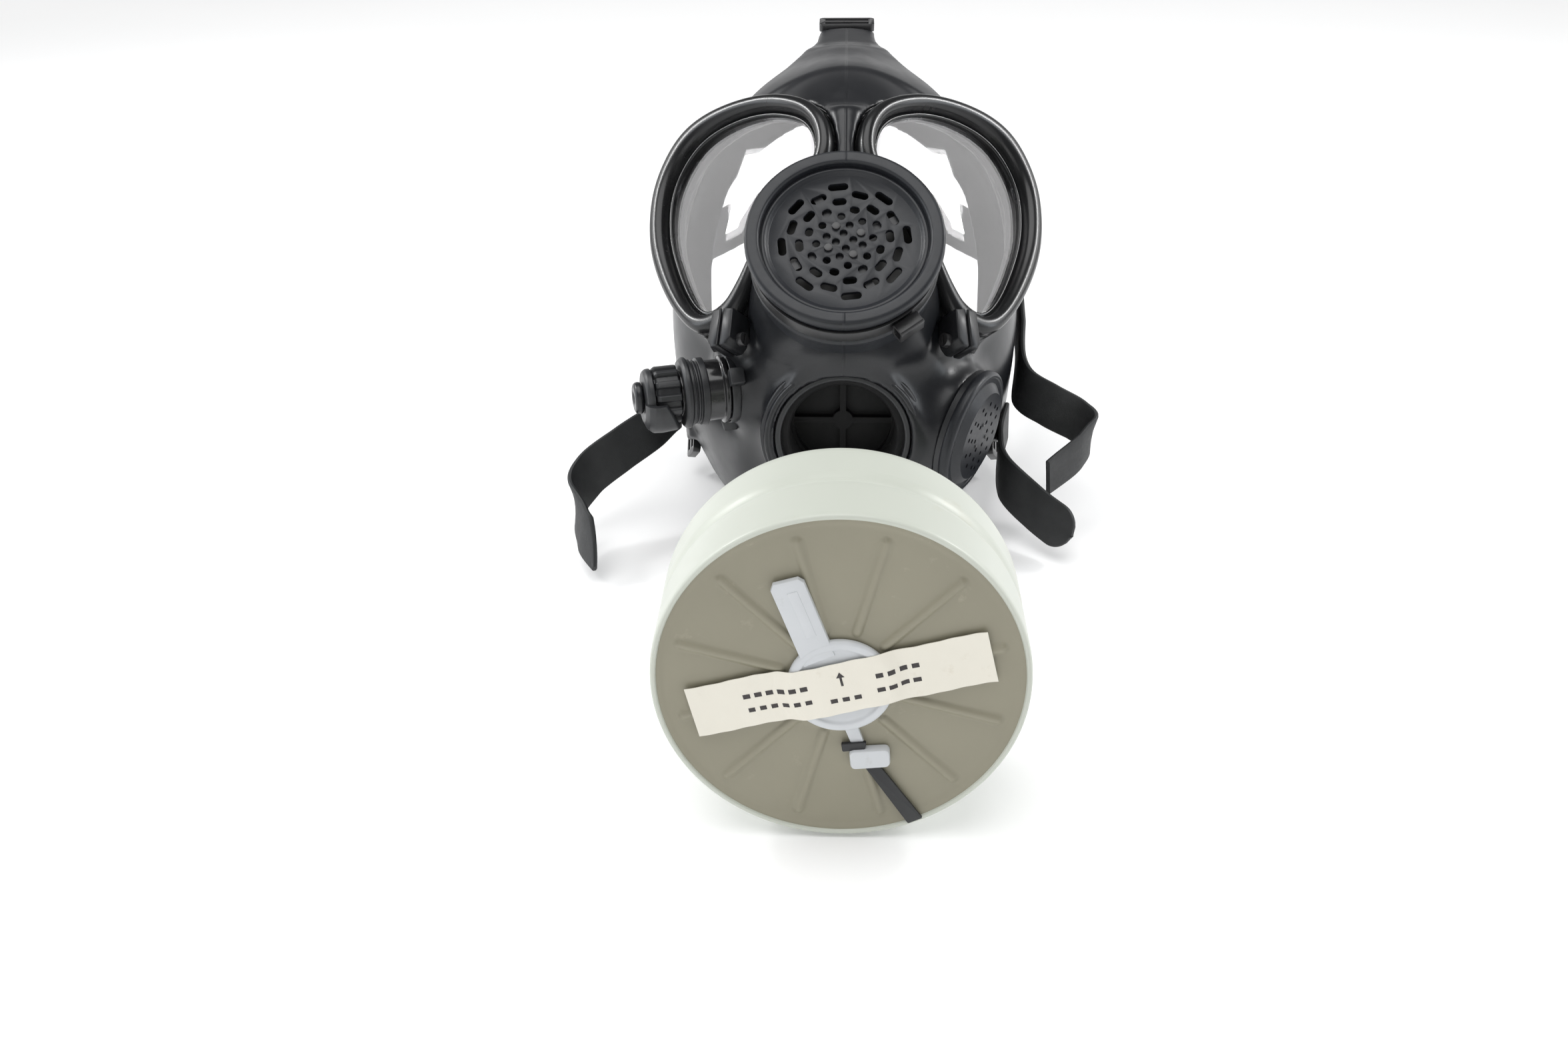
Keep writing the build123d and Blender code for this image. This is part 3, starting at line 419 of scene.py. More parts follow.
def poly_sd(px, py, poly):
    """Signed distance from points to a closed polygon, negative inside."""
    d2 = np.full(px.shape, 1e9, np.float32)
    inside = np.zeros(px.shape, bool)
    n = len(poly)
    for i in range(n):
        ax, ay = poly[i]
        bx, by = poly[(i + 1) % n]
        ex, ey = bx - ax, by - ay
        l2 = ex * ex + ey * ey
        if l2 < 1e-9:
            continue
        wx, wy = px - ax, py - ay
        t = np.clip((wx * ex + wy * ey) / l2, 0, 1)
        dx, dy = wx - ex * t, wy - ey * t
        np.minimum(d2, dx * dx + dy * dy, out=d2)
        c1 = (ay > py) != (by > py)
        if ey != 0:
            xc = ax + (py - ay) * ex / ey
            inside ^= c1 & (px < xc)
    d = np.sqrt(d2)
    return np.where(inside, -d, d).astype(np.float32)


def smin(a, b, k):
    h = np.clip(k - np.abs(a - b), 0, None) / k
    return np.minimum(a, b) - h * h * k * 0.25


def smax(a, b, k):
    return -smin(-a, -b, k)


def surface_nets(v, origin, h):
    s = v < 0
    nx, ny, nz = v.shape
    cnt = np.zeros((nx - 1, ny - 1, nz - 1), np.int8)
    for a in (0, 1):
        for b in (0, 1):
            for c in (0, 1):
                cnt += s[a:nx - 1 + a, b:ny - 1 + b, c:nz - 1 + c]
    act = (cnt > 0) & (cnt < 8)
    idx = np.full(act.shape, -1, np.int64)
    ii = np.argwhere(act)
    idx[act] = np.arange(len(ii))
    acc = np.zeros((len(ii), 3))
    num = np.zeros(len(ii))
    I, J, K = ii[:, 0], ii[:, 1], ii[:, 2]
    for ax in range(3):
        o1, o2 = [a for a in range(3) if a != ax]
        for p in (0, 1):
            for q in (0, 1):
                off0 = [0, 0, 0]
                off0[o1], off0[o2] = p, q
                off1 = list(off0)
                off1[ax] = 1
                va = v[I + off0[0], J + off0[1], K + off0[2]]
                vb = v[I + off1[0], J + off1[1], K + off1[2]]
                cr = (va < 0) != (vb < 0)
                t = np.where(cr, va / np.where(cr, va - vb, 1), 0)
                pt = np.zeros((len(ii), 3))
                pt[:, o1], pt[:, o2] = p, q
                pt[:, ax] = t
                acc += pt * cr[:, None]
                num += cr
    verts = (ii + acc / num[:, None]) * h + np.array(origin)
    faces = []
    # x edges
    for ax in range(3):
        o1, o2 = (ax + 1) % 3, (ax + 2) % 3
        sl0 = [slice(1, -1)] * 3
        sl1 = [slice(1, -1)] * 3
        sl0[ax], sl1[ax] = slice(0, -1), slice(1, None)
        a, b = s[tuple(sl0)], s[tuple(sl1)]
        e = np.argwhere(a != b)
        sgn = a[tuple(e.T)]
        e = e + 1
        e[:, ax] -= 1
        q = []
        for da, db in ((-1, -1), (0, -1), (0, 0), (-1, 0)):
            c = e.copy()
            c[:, o1] += da
            c[:, o2] += db
            q.append(idx[tuple(c.T)])
        q = np.stack(q, 1)
        q[~sgn] = q[~sgn][:, ::-1]
        faces.append(q)
    return verts, np.concatenate(faces)


H = 1.15
gx = np.arange(-80, 80 + H, H)
gf = np.arange(-92, 58 + H, H)
gu = np.arange(-28, 208 + H, H)
X, FF, U = np.meshgrid(gx, gf, gu, indexing="ij")
X, FF, U = X.astype(np.float32), FF.astype(np.float32), U.astype(np.float32)


def in_plane(pl):
    """Coordinates of the grid in a plane's frame."""
    o = MAT_M.T @ pl.o
    ax = [MAT_M.T @ v for v in (pl.x, pl.y, pl.z)]
    dx, df, du = X - o[0], FF - o[1], U - o[2]
    return [(dx * a[0] + df * a[1] + du * a[2]).astype(np.float32) for a in ax]


us = np.array([u for u, _ in SECT], float)
ctl = np.array([h for _, h in SECT], float)
lev = catmull(ctl, us, np.clip(gu, us[0], us[-1]))
outer = np.empty(X.shape, np.float32)
tt = np.linspace(0, 5, 41)
rear = np.empty(len(gu), np.float32)
for k in range(len(gu)):
    half = lev[k]
    # mirror the first step so the front is smooth across the middle
    ext = np.concatenate([[(-half[1][0], half[1][1])], half, [2 * half[-1] - half[-2]]])
    dense = catmull(ext, np.arange(-1, 7.0), tt)
    dense[0, 0] = 0
    dense = np.concatenate([dense, [[dense[-1, 0], dense[-1, 1] - 40]]])
    full = np.concatenate([dense, dense[::-1] * np.array([-1, 1])])
    outer[:, :, k] = poly_sd(np.abs(X[:, :, k]), FF[:, :, k], full)
    rear[k] = half[-1][1]

REAR = rear[None, None, :]
# a level outline's distance, made into distance square to the sloping wall


def blur(v, times):
    for _ in range(times):
        for ax in range(3):
            a = np.moveaxis(v, ax, 0)
            a[1:-1] = 0.25 * a[:-2] + 0.5 * a[1:-1] + 0.25 * a[2:]
    return v


gr = np.gradient(blur(outer, 2), H)
outer /= np.clip(np.sqrt(gr[0] ** 2 + gr[1] ** 2 + gr[2] ** 2), 1.0, 3.0)
inner = np.maximum(np.maximum(outer + 2.6, -20.2 - U), U - 174.5)
outer = smax(outer, -23 - U, 5.0)
outer = smax(outer, U - 178, 4.0)
outer = smax(outer, REAR - FF, 2.0)
# inward turned face seal along the rear edge
inner_front = smax(inner, (REAR + 3.2) - FF, 3.0)
hollow = np.minimum(inner_front, inner + 13.0)

d = outer
aX = np.abs(X)
lensR = in_plane(LENS)
Xs = X.copy()
# lens frames for both sides at once: mirror the grid
o = MAT_M.T @ LENS.o
axs = [MAT_M.T @ v for v in (LENS.x, LENS.y, LENS.z)]
dx, df, du = aX - o[0], FF - o[1], U - o[2]
P, Q, N = [(dx * a[0] + df * a[1] + du * a[2]).astype(np.float32) for a in axs]
near = (N > -45) & (N < 8) & (P > -25) & (P < 95) & (Q > -92) & (Q < 45)


def outline_sd(pts, n=90):
    c = closed_curve(pts, n)
    out = np.full(X.shape, 50.0, np.float32)
    out[near] = poly_sd(P[near], Q[near], c)
    return out


sd_rim = outline_sd(RIM_OUT)
sd_gl = outline_sd(GLASS)
seat = smax(sd_rim + 1.8, np.abs(N + 18.8) - 9.2, 2.0)
d = smin(d, seat, 7.0)
# bead of rubber under the rim
bead = smax(sd_rim - 0.8, np.abs(N + 12.2) - 1.6, 2.0)
d = smin(d, bead, 3.0)
# nose bridge
ridge = np.sqrt((aX / 1.0) ** 2 + ((FF - 14.0) / 1.3) ** 2) - 8.4
ridge = smax(ridge, np.abs(U - 108) - 17, 6.0)
d = smin(d, ridge, 8.0)
room = np.maximum(sd_rim - 0.5, -(N + 9.4))
room = np.maximum(room, N - 6)
d = smax(d, -room, 1.2)
socket = np.maximum(np.maximum(sd_rim + 5.0, N + 13.5), -(N + 29.0))
jaw = np.maximum(np.maximum(np.abs(P - 31) - 9.0, np.abs(Q + 77) - 7.5), np.maximum(-(N + 9.4), N - 8))
d = smax(d, -jaw, 1.5)
skin = np.maximum(np.maximum(outer + 2.2, -(outer + 5.4)), np.maximum(jaw - 7.0, 4.0 - sd_gl))
skin = np.maximum(skin, REAR + 4 - FF)
lip = np.maximum(sd_gl - 2.5, np.abs(N + 8.6) - 3.4)
d = smin(d, lip, 0.6)
# forehead tab
tb = Pl(mv(0, -16, 162), mv(0, 0.72, 0.69), (1, 0, 0))
tx, ty, tz = in_plane(tb)
wid = np.interp(ty, [-16, -6, 4, 14, 22, 30, 38, 46, 60], [48, 41, 33.5, 26, 20.5, 16.2, 13.3, 12.2, 12.0]).astype(np.float32)
tz = tz + 0.0105 * X * X
tab = smax(smax(aX - wid, np.abs(tz + 1.6) - 1.7, 1.2), np.maximum(-ty - 12, ty - 53.5), 1.0)
d = smin(d, tab, 8.0)
# strap lugs
for (cx, cf, cu) in ((70.6, -76.7, 112), (65.0, -76.7, 30)):
    lg = Pl(mv(cx, cf, cu), mv(0.95, 0.3, 0), mv(0, 0, 1))
    o2 = MAT_M.T @ lg.o
    a2 = [MAT_M.T @ v for v in (lg.x, lg.y, lg.z)]
    d1, d2, d3 = aX - o2[0], FF - o2[1], U - o2[2]
    q1, q2, q3 = [d1 * a[0] + d2 * a[1] + d3 * a[2] for a in a2]
    lug = smax(smax(np.abs(q1) - 9, np.abs(q2) - 4.6, 2.0), np.abs(q3) - 1.3, 1.0)
    d = smin(d, lug, 3.0)
# diaphragm barrel
bx, by, bz = in_plane(DIA)
br = np.sqrt(bx * bx + by * by)
d = smin(d, smax(br - 32.6, np.abs(bz + 21) - 16.5, 1.0), 9.0)
# port collar
cx_, cy_, cz_ = in_plane(PORT)
cr_ = np.sqrt(cx_ * cx_ + cy_ * cy_)
flare = np.interp(cz_, [-40, -20, -8, -4, -1], [34, 31.5, 29.2, 28.8, 28.6]).astype(np.float32)
d = smin(d, smax(cr_ - flare, np.abs(cz_ + 17.6) - 16.5, 1.0), 11.0)
# cheek bosses
kx, ky, kz = in_plane(DRINK)
kr = np.sqrt(kx * kx + ky * ky)
d = smin(d, smax(kr - 12.3, np.abs(kz - 4) - 7.8, 1.0), 9.0)
ex_, ey_, ez_ = in_plane(EXH)
er = np.sqrt(ex_ * ex_ + ey_ * ey_)
d = smin(d, smax(er - 22.4, np.abs(ez_ + 9) - 9.9, 1.2), 13.0)
# hollow, then the bores
d = smax(d, -hollow, 1.5)
d = smax(d, -socket, 1.5)
tube = np.maximum(cr_ - 29.0, np.abs(cz_ + 14) - 10)
d = smin(d, tube, 1.0)
d = smin(d, skin, 1.0)
d = np.maximum(d, -np.maximum(sd_gl - 0.4, -(N + 60)))
d = np.maximum(d, -np.maximum(br - 28.3, np.abs(bz + 22) - 26))
d = np.maximum(d, -np.maximum(cr_ - 25.7, np.abs(cz_ + 14) - 18))
d = np.maximum(d, -np.maximum(kr - 9.6, np.abs(kz - 6) - 8))
d = np.maximum(d, -np.maximum(er - 18.8, np.abs(ez_ + 2) - 6.0))
d = np.maximum(d, -np.maximum(er - 8.0, np.abs(ez_ + 15) - 14.0))
# the table
zrow = S * FF + C * U
d = np.maximum(d, -(zrow + 53.8))
# mesh the field
fv, ffc = surface_nets(d, (gx[0], gf[0], gu[0]), H)
fv = fv @ MAT_M.T
face = mesh_obj("facepiece.moulded", fv, ffc, "mask_rubber", "mask", ("facepiece",), angle=60)
# relax the grid steps
bm = bmesh.new()
bm.from_mesh(face.data)
for _ in range(4):
    bmesh.ops.smooth_vert(bm, verts=bm.verts, factor=0.5, use_axis_x=True, use_axis_y=True, use_axis_z=True)
bm.to_mesh(face.data)
bm.free()
face.data.polygons.foreach_set("use_smooth", [True] * len(face.data.polygons))
print("facepiece", len(face.data.vertices))

# ------------------------------------------------------------------ eyepieces
glass = closed_curve(GLASS, 260)
gn = normals2(glass)
rim_edge = closed_curve(RIM_OUT, 420)
edge_vec = np.roll(rim_edge, -1, 0) - rim_edge
wd = []
for pnt, v in zip(glass, gn):
    den = v[0] * edge_vec[:, 1] - v[1] * edge_vec[:, 0]
    den = np.where(np.abs(den) < 1e-9, 1e-9, den)
    q = rim_edge - pnt
    t = (q[:, 0] * edge_vec[:, 1] - q[:, 1] * edge_vec[:, 0]) / den
    u = (q[:, 0] * v[1] - q[:, 1] * v[0]) / den
    ok = (t > 0) & (u >= 0) & (u <= 1)
    wd.append(t[ok].min() if ok.any() else 9.0)
wd = np.clip(np.array(wd), 5.0, 13.0)
for _ in range(12):
    wd = 0.25 * np.roll(wd, 1) + 0.5 * wd + 0.25 * np.roll(wd, -1)
    gn = 0.25 * np.roll(gn, 1, 0) + 0.5 * gn + 0.25 * np.roll(gn, -1, 0)
gn /= np.linalg.norm(gn, axis=1)[:, None]

RIM_SEC = [(0.0, -5.2), (0.0, -3.3), (0.03, -2.7), (0.09, -2.5), (0.14, -2.7), (0.165, -3.5), (0.19, -3.7), (0.215, -3.4), (0.23, -1.9), (0.26, -1.2)]
for k in range(1, 15):
    a = math.pi - math.pi * k / 15
    RIM_SEC.append((0.63 + 0.37 * math.cos(a), -1.6 + 3.1 * math.sin(a)))
RIM_SEC += [(1.0, -2.0), (1.0, -4.2), (0.97, -4.7), (0.965, -5.2), (1.0, -5.7), (1.0, -8.4), (0.95, -9.3), (0.5, -9.3), (0.06, -9.3), (0.0, -8.6)]
RIM_SEC = np.array(RIM_SEC)


def clear_barrel(v):
    """Keep points of an eyepiece ring outside the speech barrel."""
    x, y, z = DIA.loc(v)
    r = np.sqrt(x * x + y * y)
    k = np.where((r < 33.6) & (z < 6) & (z > -48), 33.6 / np.maximum(r, 1e-6), 1.0)
    return DIA.o + (x * k)[:, None] * DIA.x + (y * k)[:, None] * DIA.y + z[:, None] * DIA.z


def flip(v, side):
    return v * np.array([side, 1, 1])


def ring_faces(n, m):
    f = []
    for i in range(n):
        for j in range(m):
            f.append((i * m + j, ((i + 1) % n) * m + j, ((i + 1) % n) * m + (j + 1) % m, i * m + (j + 1) % m))
    return f


for side, nm in ((1, "right"), (-1, "left")):
    ns, ms = len(glass), len(RIM_SEC)
    q = glass[:, None, :] + gn[:, None, :] * (wd[:, None] * RIM_SEC[None, :, 0])[..., None]
    pts = np.concatenate([q, np.broadcast_to(RIM_SEC[None, :, 1, None], (ns, ms, 1))], -1).reshape(-1, 3)
    v = flip(clear_barrel(LENS.pts(pts)), side)
    mesh_obj("rim_" + nm + ".turned", v, ring_faces(ns, ms), "rim_black", "mask", ("rim_" + nm,), angle=50)
    # glass, gently domed
    cen = np.array([37.0, -18.0])
    verts, faces = [], []
    K = 14
    for lay in (0, 1):
        verts.append([*cen, -3.0 + 0.0 if lay == 0 else -4.6])
        for k in range(1, K + 1):
            f = k / K
            for p2 in (cen + (glass + gn * 1.6 - cen) * f):
                verts.append([p2[0], p2[1], (-3.2 if lay == 0 else -4.6) - 1.3 * f * f + (0.2 if lay == 0 else 0.0) * (1 - f)])
    n0 = 1 + K * ns
    for lay in (0, 1):
        o = lay * n0
        for i in range(ns):
            j = (i + 1) % ns
            faces.append((o, o + 1 + i, o + 1 + j))
            for k in range(K - 1):
                a = o + 1 + k * ns
                faces.append((a + i, a + ns + i, a + ns + j, a + j))
    a = 1 + (K - 1) * ns
    for i in range(ns):
        j = (i + 1) % ns
        faces.append((a + i, n0 + a + i, n0 + a + j, a + j))
    mesh_obj("lens_" + nm + ".glass", flip(LENS.pts(np.array(verts)), side), faces, "lens_clear", "mask", ("lens_" + nm,), angle=50)

# ------------------------------------------------------------------ speech diaphragm
lathe("speech_barrel.moulded", DIA,
      [(29.9, -0.9), (30.6, -0.1), (31.4, 0.0), (33.9, 0.0), (34.9, -0.4), (35.2, -1.4), (35.2, -3.6), (34.6, -4.6), (33.6, -5.2), (33.2, -6.4), (33.2, -8.0),
       (33.0, -8.6), (33.0, -15.2), (33.5, -15.8), (34.0, -17.2), (33.7, -18.8), (33.0, -19.6), (32.4, -30.0), (29.0, -30.0), (29.0, -6.0), (29.9, -4.0)],
      "flange_rubber", r=0.6, seg=200)
lathe("diaphragm_rim.fine", DIA, [(26.6, -3.9), (27.6, -3.3), (28.3, -2.75), (29.2, -2.7), (29.85, -3.2), (29.85, -4.6), (26.6, -4.6)], "plate_black", r=0.5, seg=200)
bevel_copy("diaphragm_plate", "plate_black", 0.28, 2, lim=50)
lathe("diaphragm_band.fine", DIA, [(33.05, -14.6), (34.1, -14.6), (34.1, -8.9), (33.05, -8.9)], "steel_black", rep=("diaphragm_band",), r=0.35, seg=200)
bevel_copy("band_fastener", "steel_black", 0.3, 2)
bevel_copy("diaphragm_rivets", "steel_black", 0.1, 2)
# radial, tangent and up directions at the folded clamp tail, whose edge is worn to bare metal; nothing is built from
# them
ang = math.radians(-53)
rad = np.array([math.cos(ang), math.sin(ang), 0]); tan = np.array([-math.sin(ang), math.cos(ang), 0]); up = np.array([0, 0, 1.0])

# ------------------------------------------------------------------ filter port
lathe("port_lip.moulded", PORT,
      [(25.7, -3.2), (25.7, -2.4), (27.5, -0.5), (28.2, -0.1), (28.9, -0.15), (29.4, -0.8), (29.5, -1.7), (29.7, -2.3), (30.4, -2.5), (31.0, -3.2), (31.2, -4.6),
       (30.9, -6.4), (30.2, -8.2), (29.4, -10.5), (29.0, -16.0), (25.7, -16.0)], "mask_rubber", r=0.5, seg=200)
lathe("port_retaining_ring.fine", PORT, [(23.2, -4.9), (23.2, -1.9), (23.9, -1.4), (25.2, -1.4), (25.6, -2.2), (25.6, -4.9)], "plastic_black", rep=("port_retaining_ring",), r=0.3, seg=160)
TH = [(25.5, -17.0), (25.5, -5.0), (20.9, -5.0)]
z = -5.4
while z > -16.2:
    TH += [(20.0, z - 0.5), (20.0, z - 0.9), (21.0, z - 1.75)]
    z -= 1.75
lathe("filter_connector.fine", PORT, TH + [(20.4, -17.0)], "deep_black", rep=("filter_connector",), r=0.12, seg=160, steps=2)
bevel_copy("inlet_spider", "deep_black", 0.3, 2)

# ------------------------------------------------------------------ drinking device
bevel_copy("drink_socket", "gloss_black", 0.4, 3)
bevel_copy("drink_bands", "plastic_black", 0.35, 2)


def notch(tt, rr, hh):
    """Two stepped rings with a gap cut through one side."""
    d0 = np.abs((tt - math.radians(250) + math.pi) % (2 * math.pi) - math.pi)
    return np.where((rr > 12.2) & (d0 < 0.16), 11.4, rr), hh


lathe("drink_step_ring.fine", DRINK, [(8.55, 20.1), (12.9, 20.1), (12.9, 22.6), (11.7, 22.9), (11.7, 23.5), (12.3, 23.7), (12.3, 24.4), (11.7, 24.6), (11.7, 25.0), (12.6, 25.2), (12.6, 26.4), (8.55, 26.4)],
      "plastic_black", rep=("drink_step_ring",), r=0.25, seg=180, mod=notch)
lathe("drink_flange.fine", DRINK, [(8.55, 26.5), (13.2, 26.5), (13.6, 27.0), (13.6, 28.2), (12.4, 29.4), (8.55, 29.4)], "plastic_black", rep=("drink_flange",), r=0.35, seg=160)


def flutes(tt, rr, hh):
    w = np.clip((np.abs(np.sin(tt * 6)) - 0.55) / 0.35, 0, 1)
    w = w * w * (3 - 2 * w)
    k = np.clip((rr - 9.0) / 1.5, 0, 1)
    return rr - (1 - w) * 1.5 * k, hh


lathe("drink_drum.fine", DRINK, [(2.52, 30.3), (10.6, 30.3), (11.2, 30.8), (11.2, 38.6), (10.7, 39.5), (10.0, 40.0), (2.52, 40.0)], "plastic_black", "drink_valve",
      rep=("drink_drum",), r=0.3, seg=240, mod=flutes)
# swept cap over the drum
cv, cf = [], []
NA, CH = 48, [(11.35, 31.2), (11.35, 40.2), (4.6, 40.4), (4.6, 44.0), (9.4, 44.4), (12.2, 43.3), (13.9, 41.3), (14.1, 38.0), (13.6, 31.6), (12.8, 30.9), (11.8, 30.8)]
chp = rounded(CH, 0.5, 3)
for i in range(NA + 1):
    f = i / NA
    a = math.radians(-184 + 188 * f)
    # the skirt gets shorter towards its two ends
    cut = 5.6 * (abs(2 * f - 1) ** 2.2)
    for r_, h_ in chp:
        hh = h_ + cut * max(0.0, min(1.0, (40.5 - h_) / 9.0))
        cv.append([r_ * math.cos(a), r_ * math.sin(a), hh])
n1 = len(chp)
for i in range(NA):
    for j in range(n1):
        cf.append((i * n1 + j, (i + 1) * n1 + j, (i + 1) * n1 + (j + 1) % n1, i * n1 + (j + 1) % n1))
cf.append(tuple(range(n1)))
cf.append(tuple(NA * n1 + j for j in range(n1)))
mesh_obj("drink_cap.fine", DRINK.pts(np.array(cv)), cf, "plastic_black", "drink_valve", ("drink_cap",), angle=40)
lathe("drink_cap_top.fine", DRINK, [(4.6, 40.4), (4.6, 43.6), (5.4, 44.0), (9.6, 43.4), (10.6, 42.2), (10.8, 40.4)], "plastic_black", "drink_valve", r=0.5, seg=120)
lathe("drink_plug.fine", DRINK, [(0.0, 40.6), (4.3, 40.6), (4.3, 44.2), (5.9, 44.4), (6.2, 45.3), (5.9, 46.6), (5.0, 47.3), (3.2, 47.4), (2.0, 46.9), (1.3, 46.2), (0.0, 45.9)],
      "mask_rubber", "drink_stopper", rep=("drink_plug",), r=0.5, seg=96)

# ------------------------------------------------------------------ exhale valve cover
lathe("exhale_rim.fine", EXH, [(22.2, 3.3), (24.2, 3.3), (24.8, 4.4), (24.8, 6.2), (24.2, 7.3), (23.2, 7.6), (22.4, 7.1), (22.2, 6.0)], "flange_rubber", r=0.6, seg=180)
for a_, r_ in ((95, 5.0), (215, 5.0), (335, 5.0)):
    o_ = np.array([r_ * math.cos(math.radians(a_)), r_ * math.sin(math.radians(a_)), 0])
    lathe("exhale_pin_%d.fine" % a_, Pl(EXH.pts(o_), EXH.z, EXH.x), [(0, 9.3), (0.75, 9.3), (0.75, 9.8), (0.4, 10.1), (0, 10.15)], "gloss_black", r=0.15, seg=24)

# ------------------------------------------------------------------ eyepiece clamps
def prism(name, pl, outline, z0, z1, mat, body, rep=(), r=0.5, rnd=1.2, side=1):
    """A flat-sided moulded block with rounded corners and rounded edges front and back."""
    c = rounded(outline, rnd, 6)
    nn = normals2(c)
    lay = [(-r, z0), (-0.3 * r, z0 + 0.3 * r), (0.0, z0 + r), (0.0, z1 - r), (-0.3 * r, z1 - 0.3 * r), (-r, z1)]
    vs = np.concatenate([np.concatenate([c + nn * off, np.full((len(c), 1), z_)], 1) for off, z_ in lay])
    n_ = len(c)
    fs = [(k * n_ + i, k * n_ + (i + 1) % n_, (k + 1) * n_ + (i + 1) % n_, (k + 1) * n_ + i) for k in range(len(lay) - 1) for i in range(n_)]
    fs += [tuple(range(n_)), tuple((len(lay) - 1) * n_ + i for i in range(n_))]
    return mesh_obj(name, pl.pts(vs) * np.array([side, 1, 1]), fs, mat, body, rep, angle=40)


for sd_, nm in ((1, "right"), (-1, "left")):
    prism("rim_clamp_%s.outer_jaw" % nm, LENS, [(31.9, -66.2), (36.6, -66.8), (36.9, -74.0), (37.0, -79.6), (35.0, -82.2), (31.9, -82.2)], -9.0, 2.0, "clamp_black", "mask", ("rim_clamp_" + nm,), r=0.8, rnd=0.9, side=sd_)
    prism("rim_clamp_%s.inner_jaw" % nm, LENS, [(26.3, -67.6), (31.2, -66.4), (31.2, -82.2), (28.2, -82.2), (26.0, -79.6), (26.1, -74.0)], -9.0, 2.0, "clamp_black", "mask", (), r=0.8, rnd=0.9, side=sd_)
    prism("rim_clamp_%s.seam" % nm, LENS, [(30.6, -67.4), (32.5, -67.4), (32.5, -81.4), (30.6, -81.4)], -8.4, 0.4, "clamp_black", "mask", (), r=0.3, rnd=0.3, side=sd_)
bevel_copy("rim_screws", "steel_black", 0.2, 2)
bevel_copy("rim_nuts", "steel_black", 0.2, 2)


# ------------------------------------------------------------------ straps
def spline(points, n, closed=False):
    p = np.array(points, float)
    s = np.concatenate([[0], np.cumsum(np.sqrt(np.linalg.norm(np.diff(p, axis=0), axis=1)))])
    x = np.linspace(0, s[-1], n)
    return catmull(p, s, x)


def ribbon(name, pts, sides, width, thick, mat, rep, n=90, tip="square", bends=(), body="mask", sag=None):
    """A flat strap with rounded edges along a smooth line; sides gives the direction of its width."""
    c = spline(pts, n) if len(pts) > 2 else np.array([np.array(pts[0]) + (np.array(pts[1]) - np.array(pts[0])) * t for t in np.linspace(0, 1, n)])
    if sag is not None:
        c = c + np.sin(np.linspace(0, math.pi, n))[:, None] * np.array(sag)
    if len(sides) == 1:
        sd = np.repeat(np.array(sides, float), n, 0)
    else:
        sd = catmull(np.array(sides, float), np.linspace(0, 1, len(sides)), np.linspace(0, 1, n))
    t = np.gradient(c, axis=0)
    t /= np.linalg.norm(t, axis=1)[:, None]
    sd = sd - t * np.sum(sd * t, 1)[:, None]
    sd /= np.linalg.norm(sd, axis=1)[:, None]
    nr = np.cross(t, sd)
    arc = np.concatenate([[0], np.cumsum(np.linalg.norm(np.diff(c, axis=0), axis=1))])
    rest = arc[-1] - arc
    w, h = width / 2, thick / 2
    verts = []
    for i in range(n):
        ww, off = w, 0.0
        if tip == "round" and rest[i] < w:
            ww = max(0.6, math.sqrt(max(0.0, w * w - (w - rest[i]) ** 2)))
        if tip == "point" and rest[i] < 16:
            ww = w * (0.12 + 0.88 * rest[i] / 16)
            off = -(w - ww) * 0.55
        m_ = [(-ww + off, 0), (-ww + off + 0.35, h * 0.8), (-ww + off + 0.9, h), (-ww * 0.3 + off, h * 0.94), (ww * 0.3 + off, h * 0.94), (ww + off - 0.9, h), (ww + off - 0.35, h * 0.8), (ww + off, 0),
              (ww + off - 0.35, -h * 0.8), (ww + off - 0.9, -h), (ww * 0.3 + off, -h * 0.94), (-ww * 0.3 + off, -h * 0.94), (-ww + off + 0.9, -h), (-ww + off + 0.35, -h * 0.8)]
        for a_, b_ in m_:
            verts.append(c[i] + sd[i] * a_ + nr[i] * b_)
    k = 14
    faces = [(i * k + j, (i + 1) * k + j, (i + 1) * k + (j + 1) % k, i * k + (j + 1) % k) for i in range(n - 1) for j in range(k)]
    faces += [tuple(range(k)), tuple((n - 1) * k + j for j in range(k))]
    return mesh_obj(name, verts, faces, mat, body, rep, angle=45)


ribbon("tail_left.strap", [(-70.5, 84, -24), (-71.5, 68, -19), (-76, 52, -17.5), (-89, 38, -22), (-101, 26, -28), (-104.5, 16, -33), (-100.5, 2, -39), (-92, -15, -44)],
       [(0, 0.1, 1), (-0.1, 0.3, 0.95), (-0.1, 0.4, 0.92), (-0.15, 0.75, 0.62)], 18, 2.1, "strap_rubber", ("tail_left",), tip="point")
ribbon("tail_right_upper.strap", [(76, 126, 24), (74.5, 92, 8), (74.5, 66, -6), (84, 57.5, -10), (95, 52.5, -14.5), (99.5, 47, -17), (95.5, 38.5, -21), (81, 25, -27)],
       [(0, -0.2, 0.98), (0.1, 0.3, 0.95), (0.1, 0.1, 0.98), (0.1, -0.1, 0.98)], 18, 2.1, "strap_rubber", ("tail_right_upper",))
ribbon("tail_right_lower.strap", [(70, 82, -28), (65, 56, -30.5), (65.5, 36, -32.5), (76, 20, -38), (89, 5, -42.5)],
       [(0, 0.1, 1), (0.05, 0.25, 0.95), (0.1, 0.35, 0.93)], 18, 2.1, "strap_rubber", ("tail_right_lower",), tip="round")
ribbon("strap_forehead.strap", [(0, 184.5, 119), (0, 204.0, 52)], [(1, 0, 0)], 17, 2.1, "strap_rubber", ("strap_forehead",), sag=(0, 1.6, 0.6))
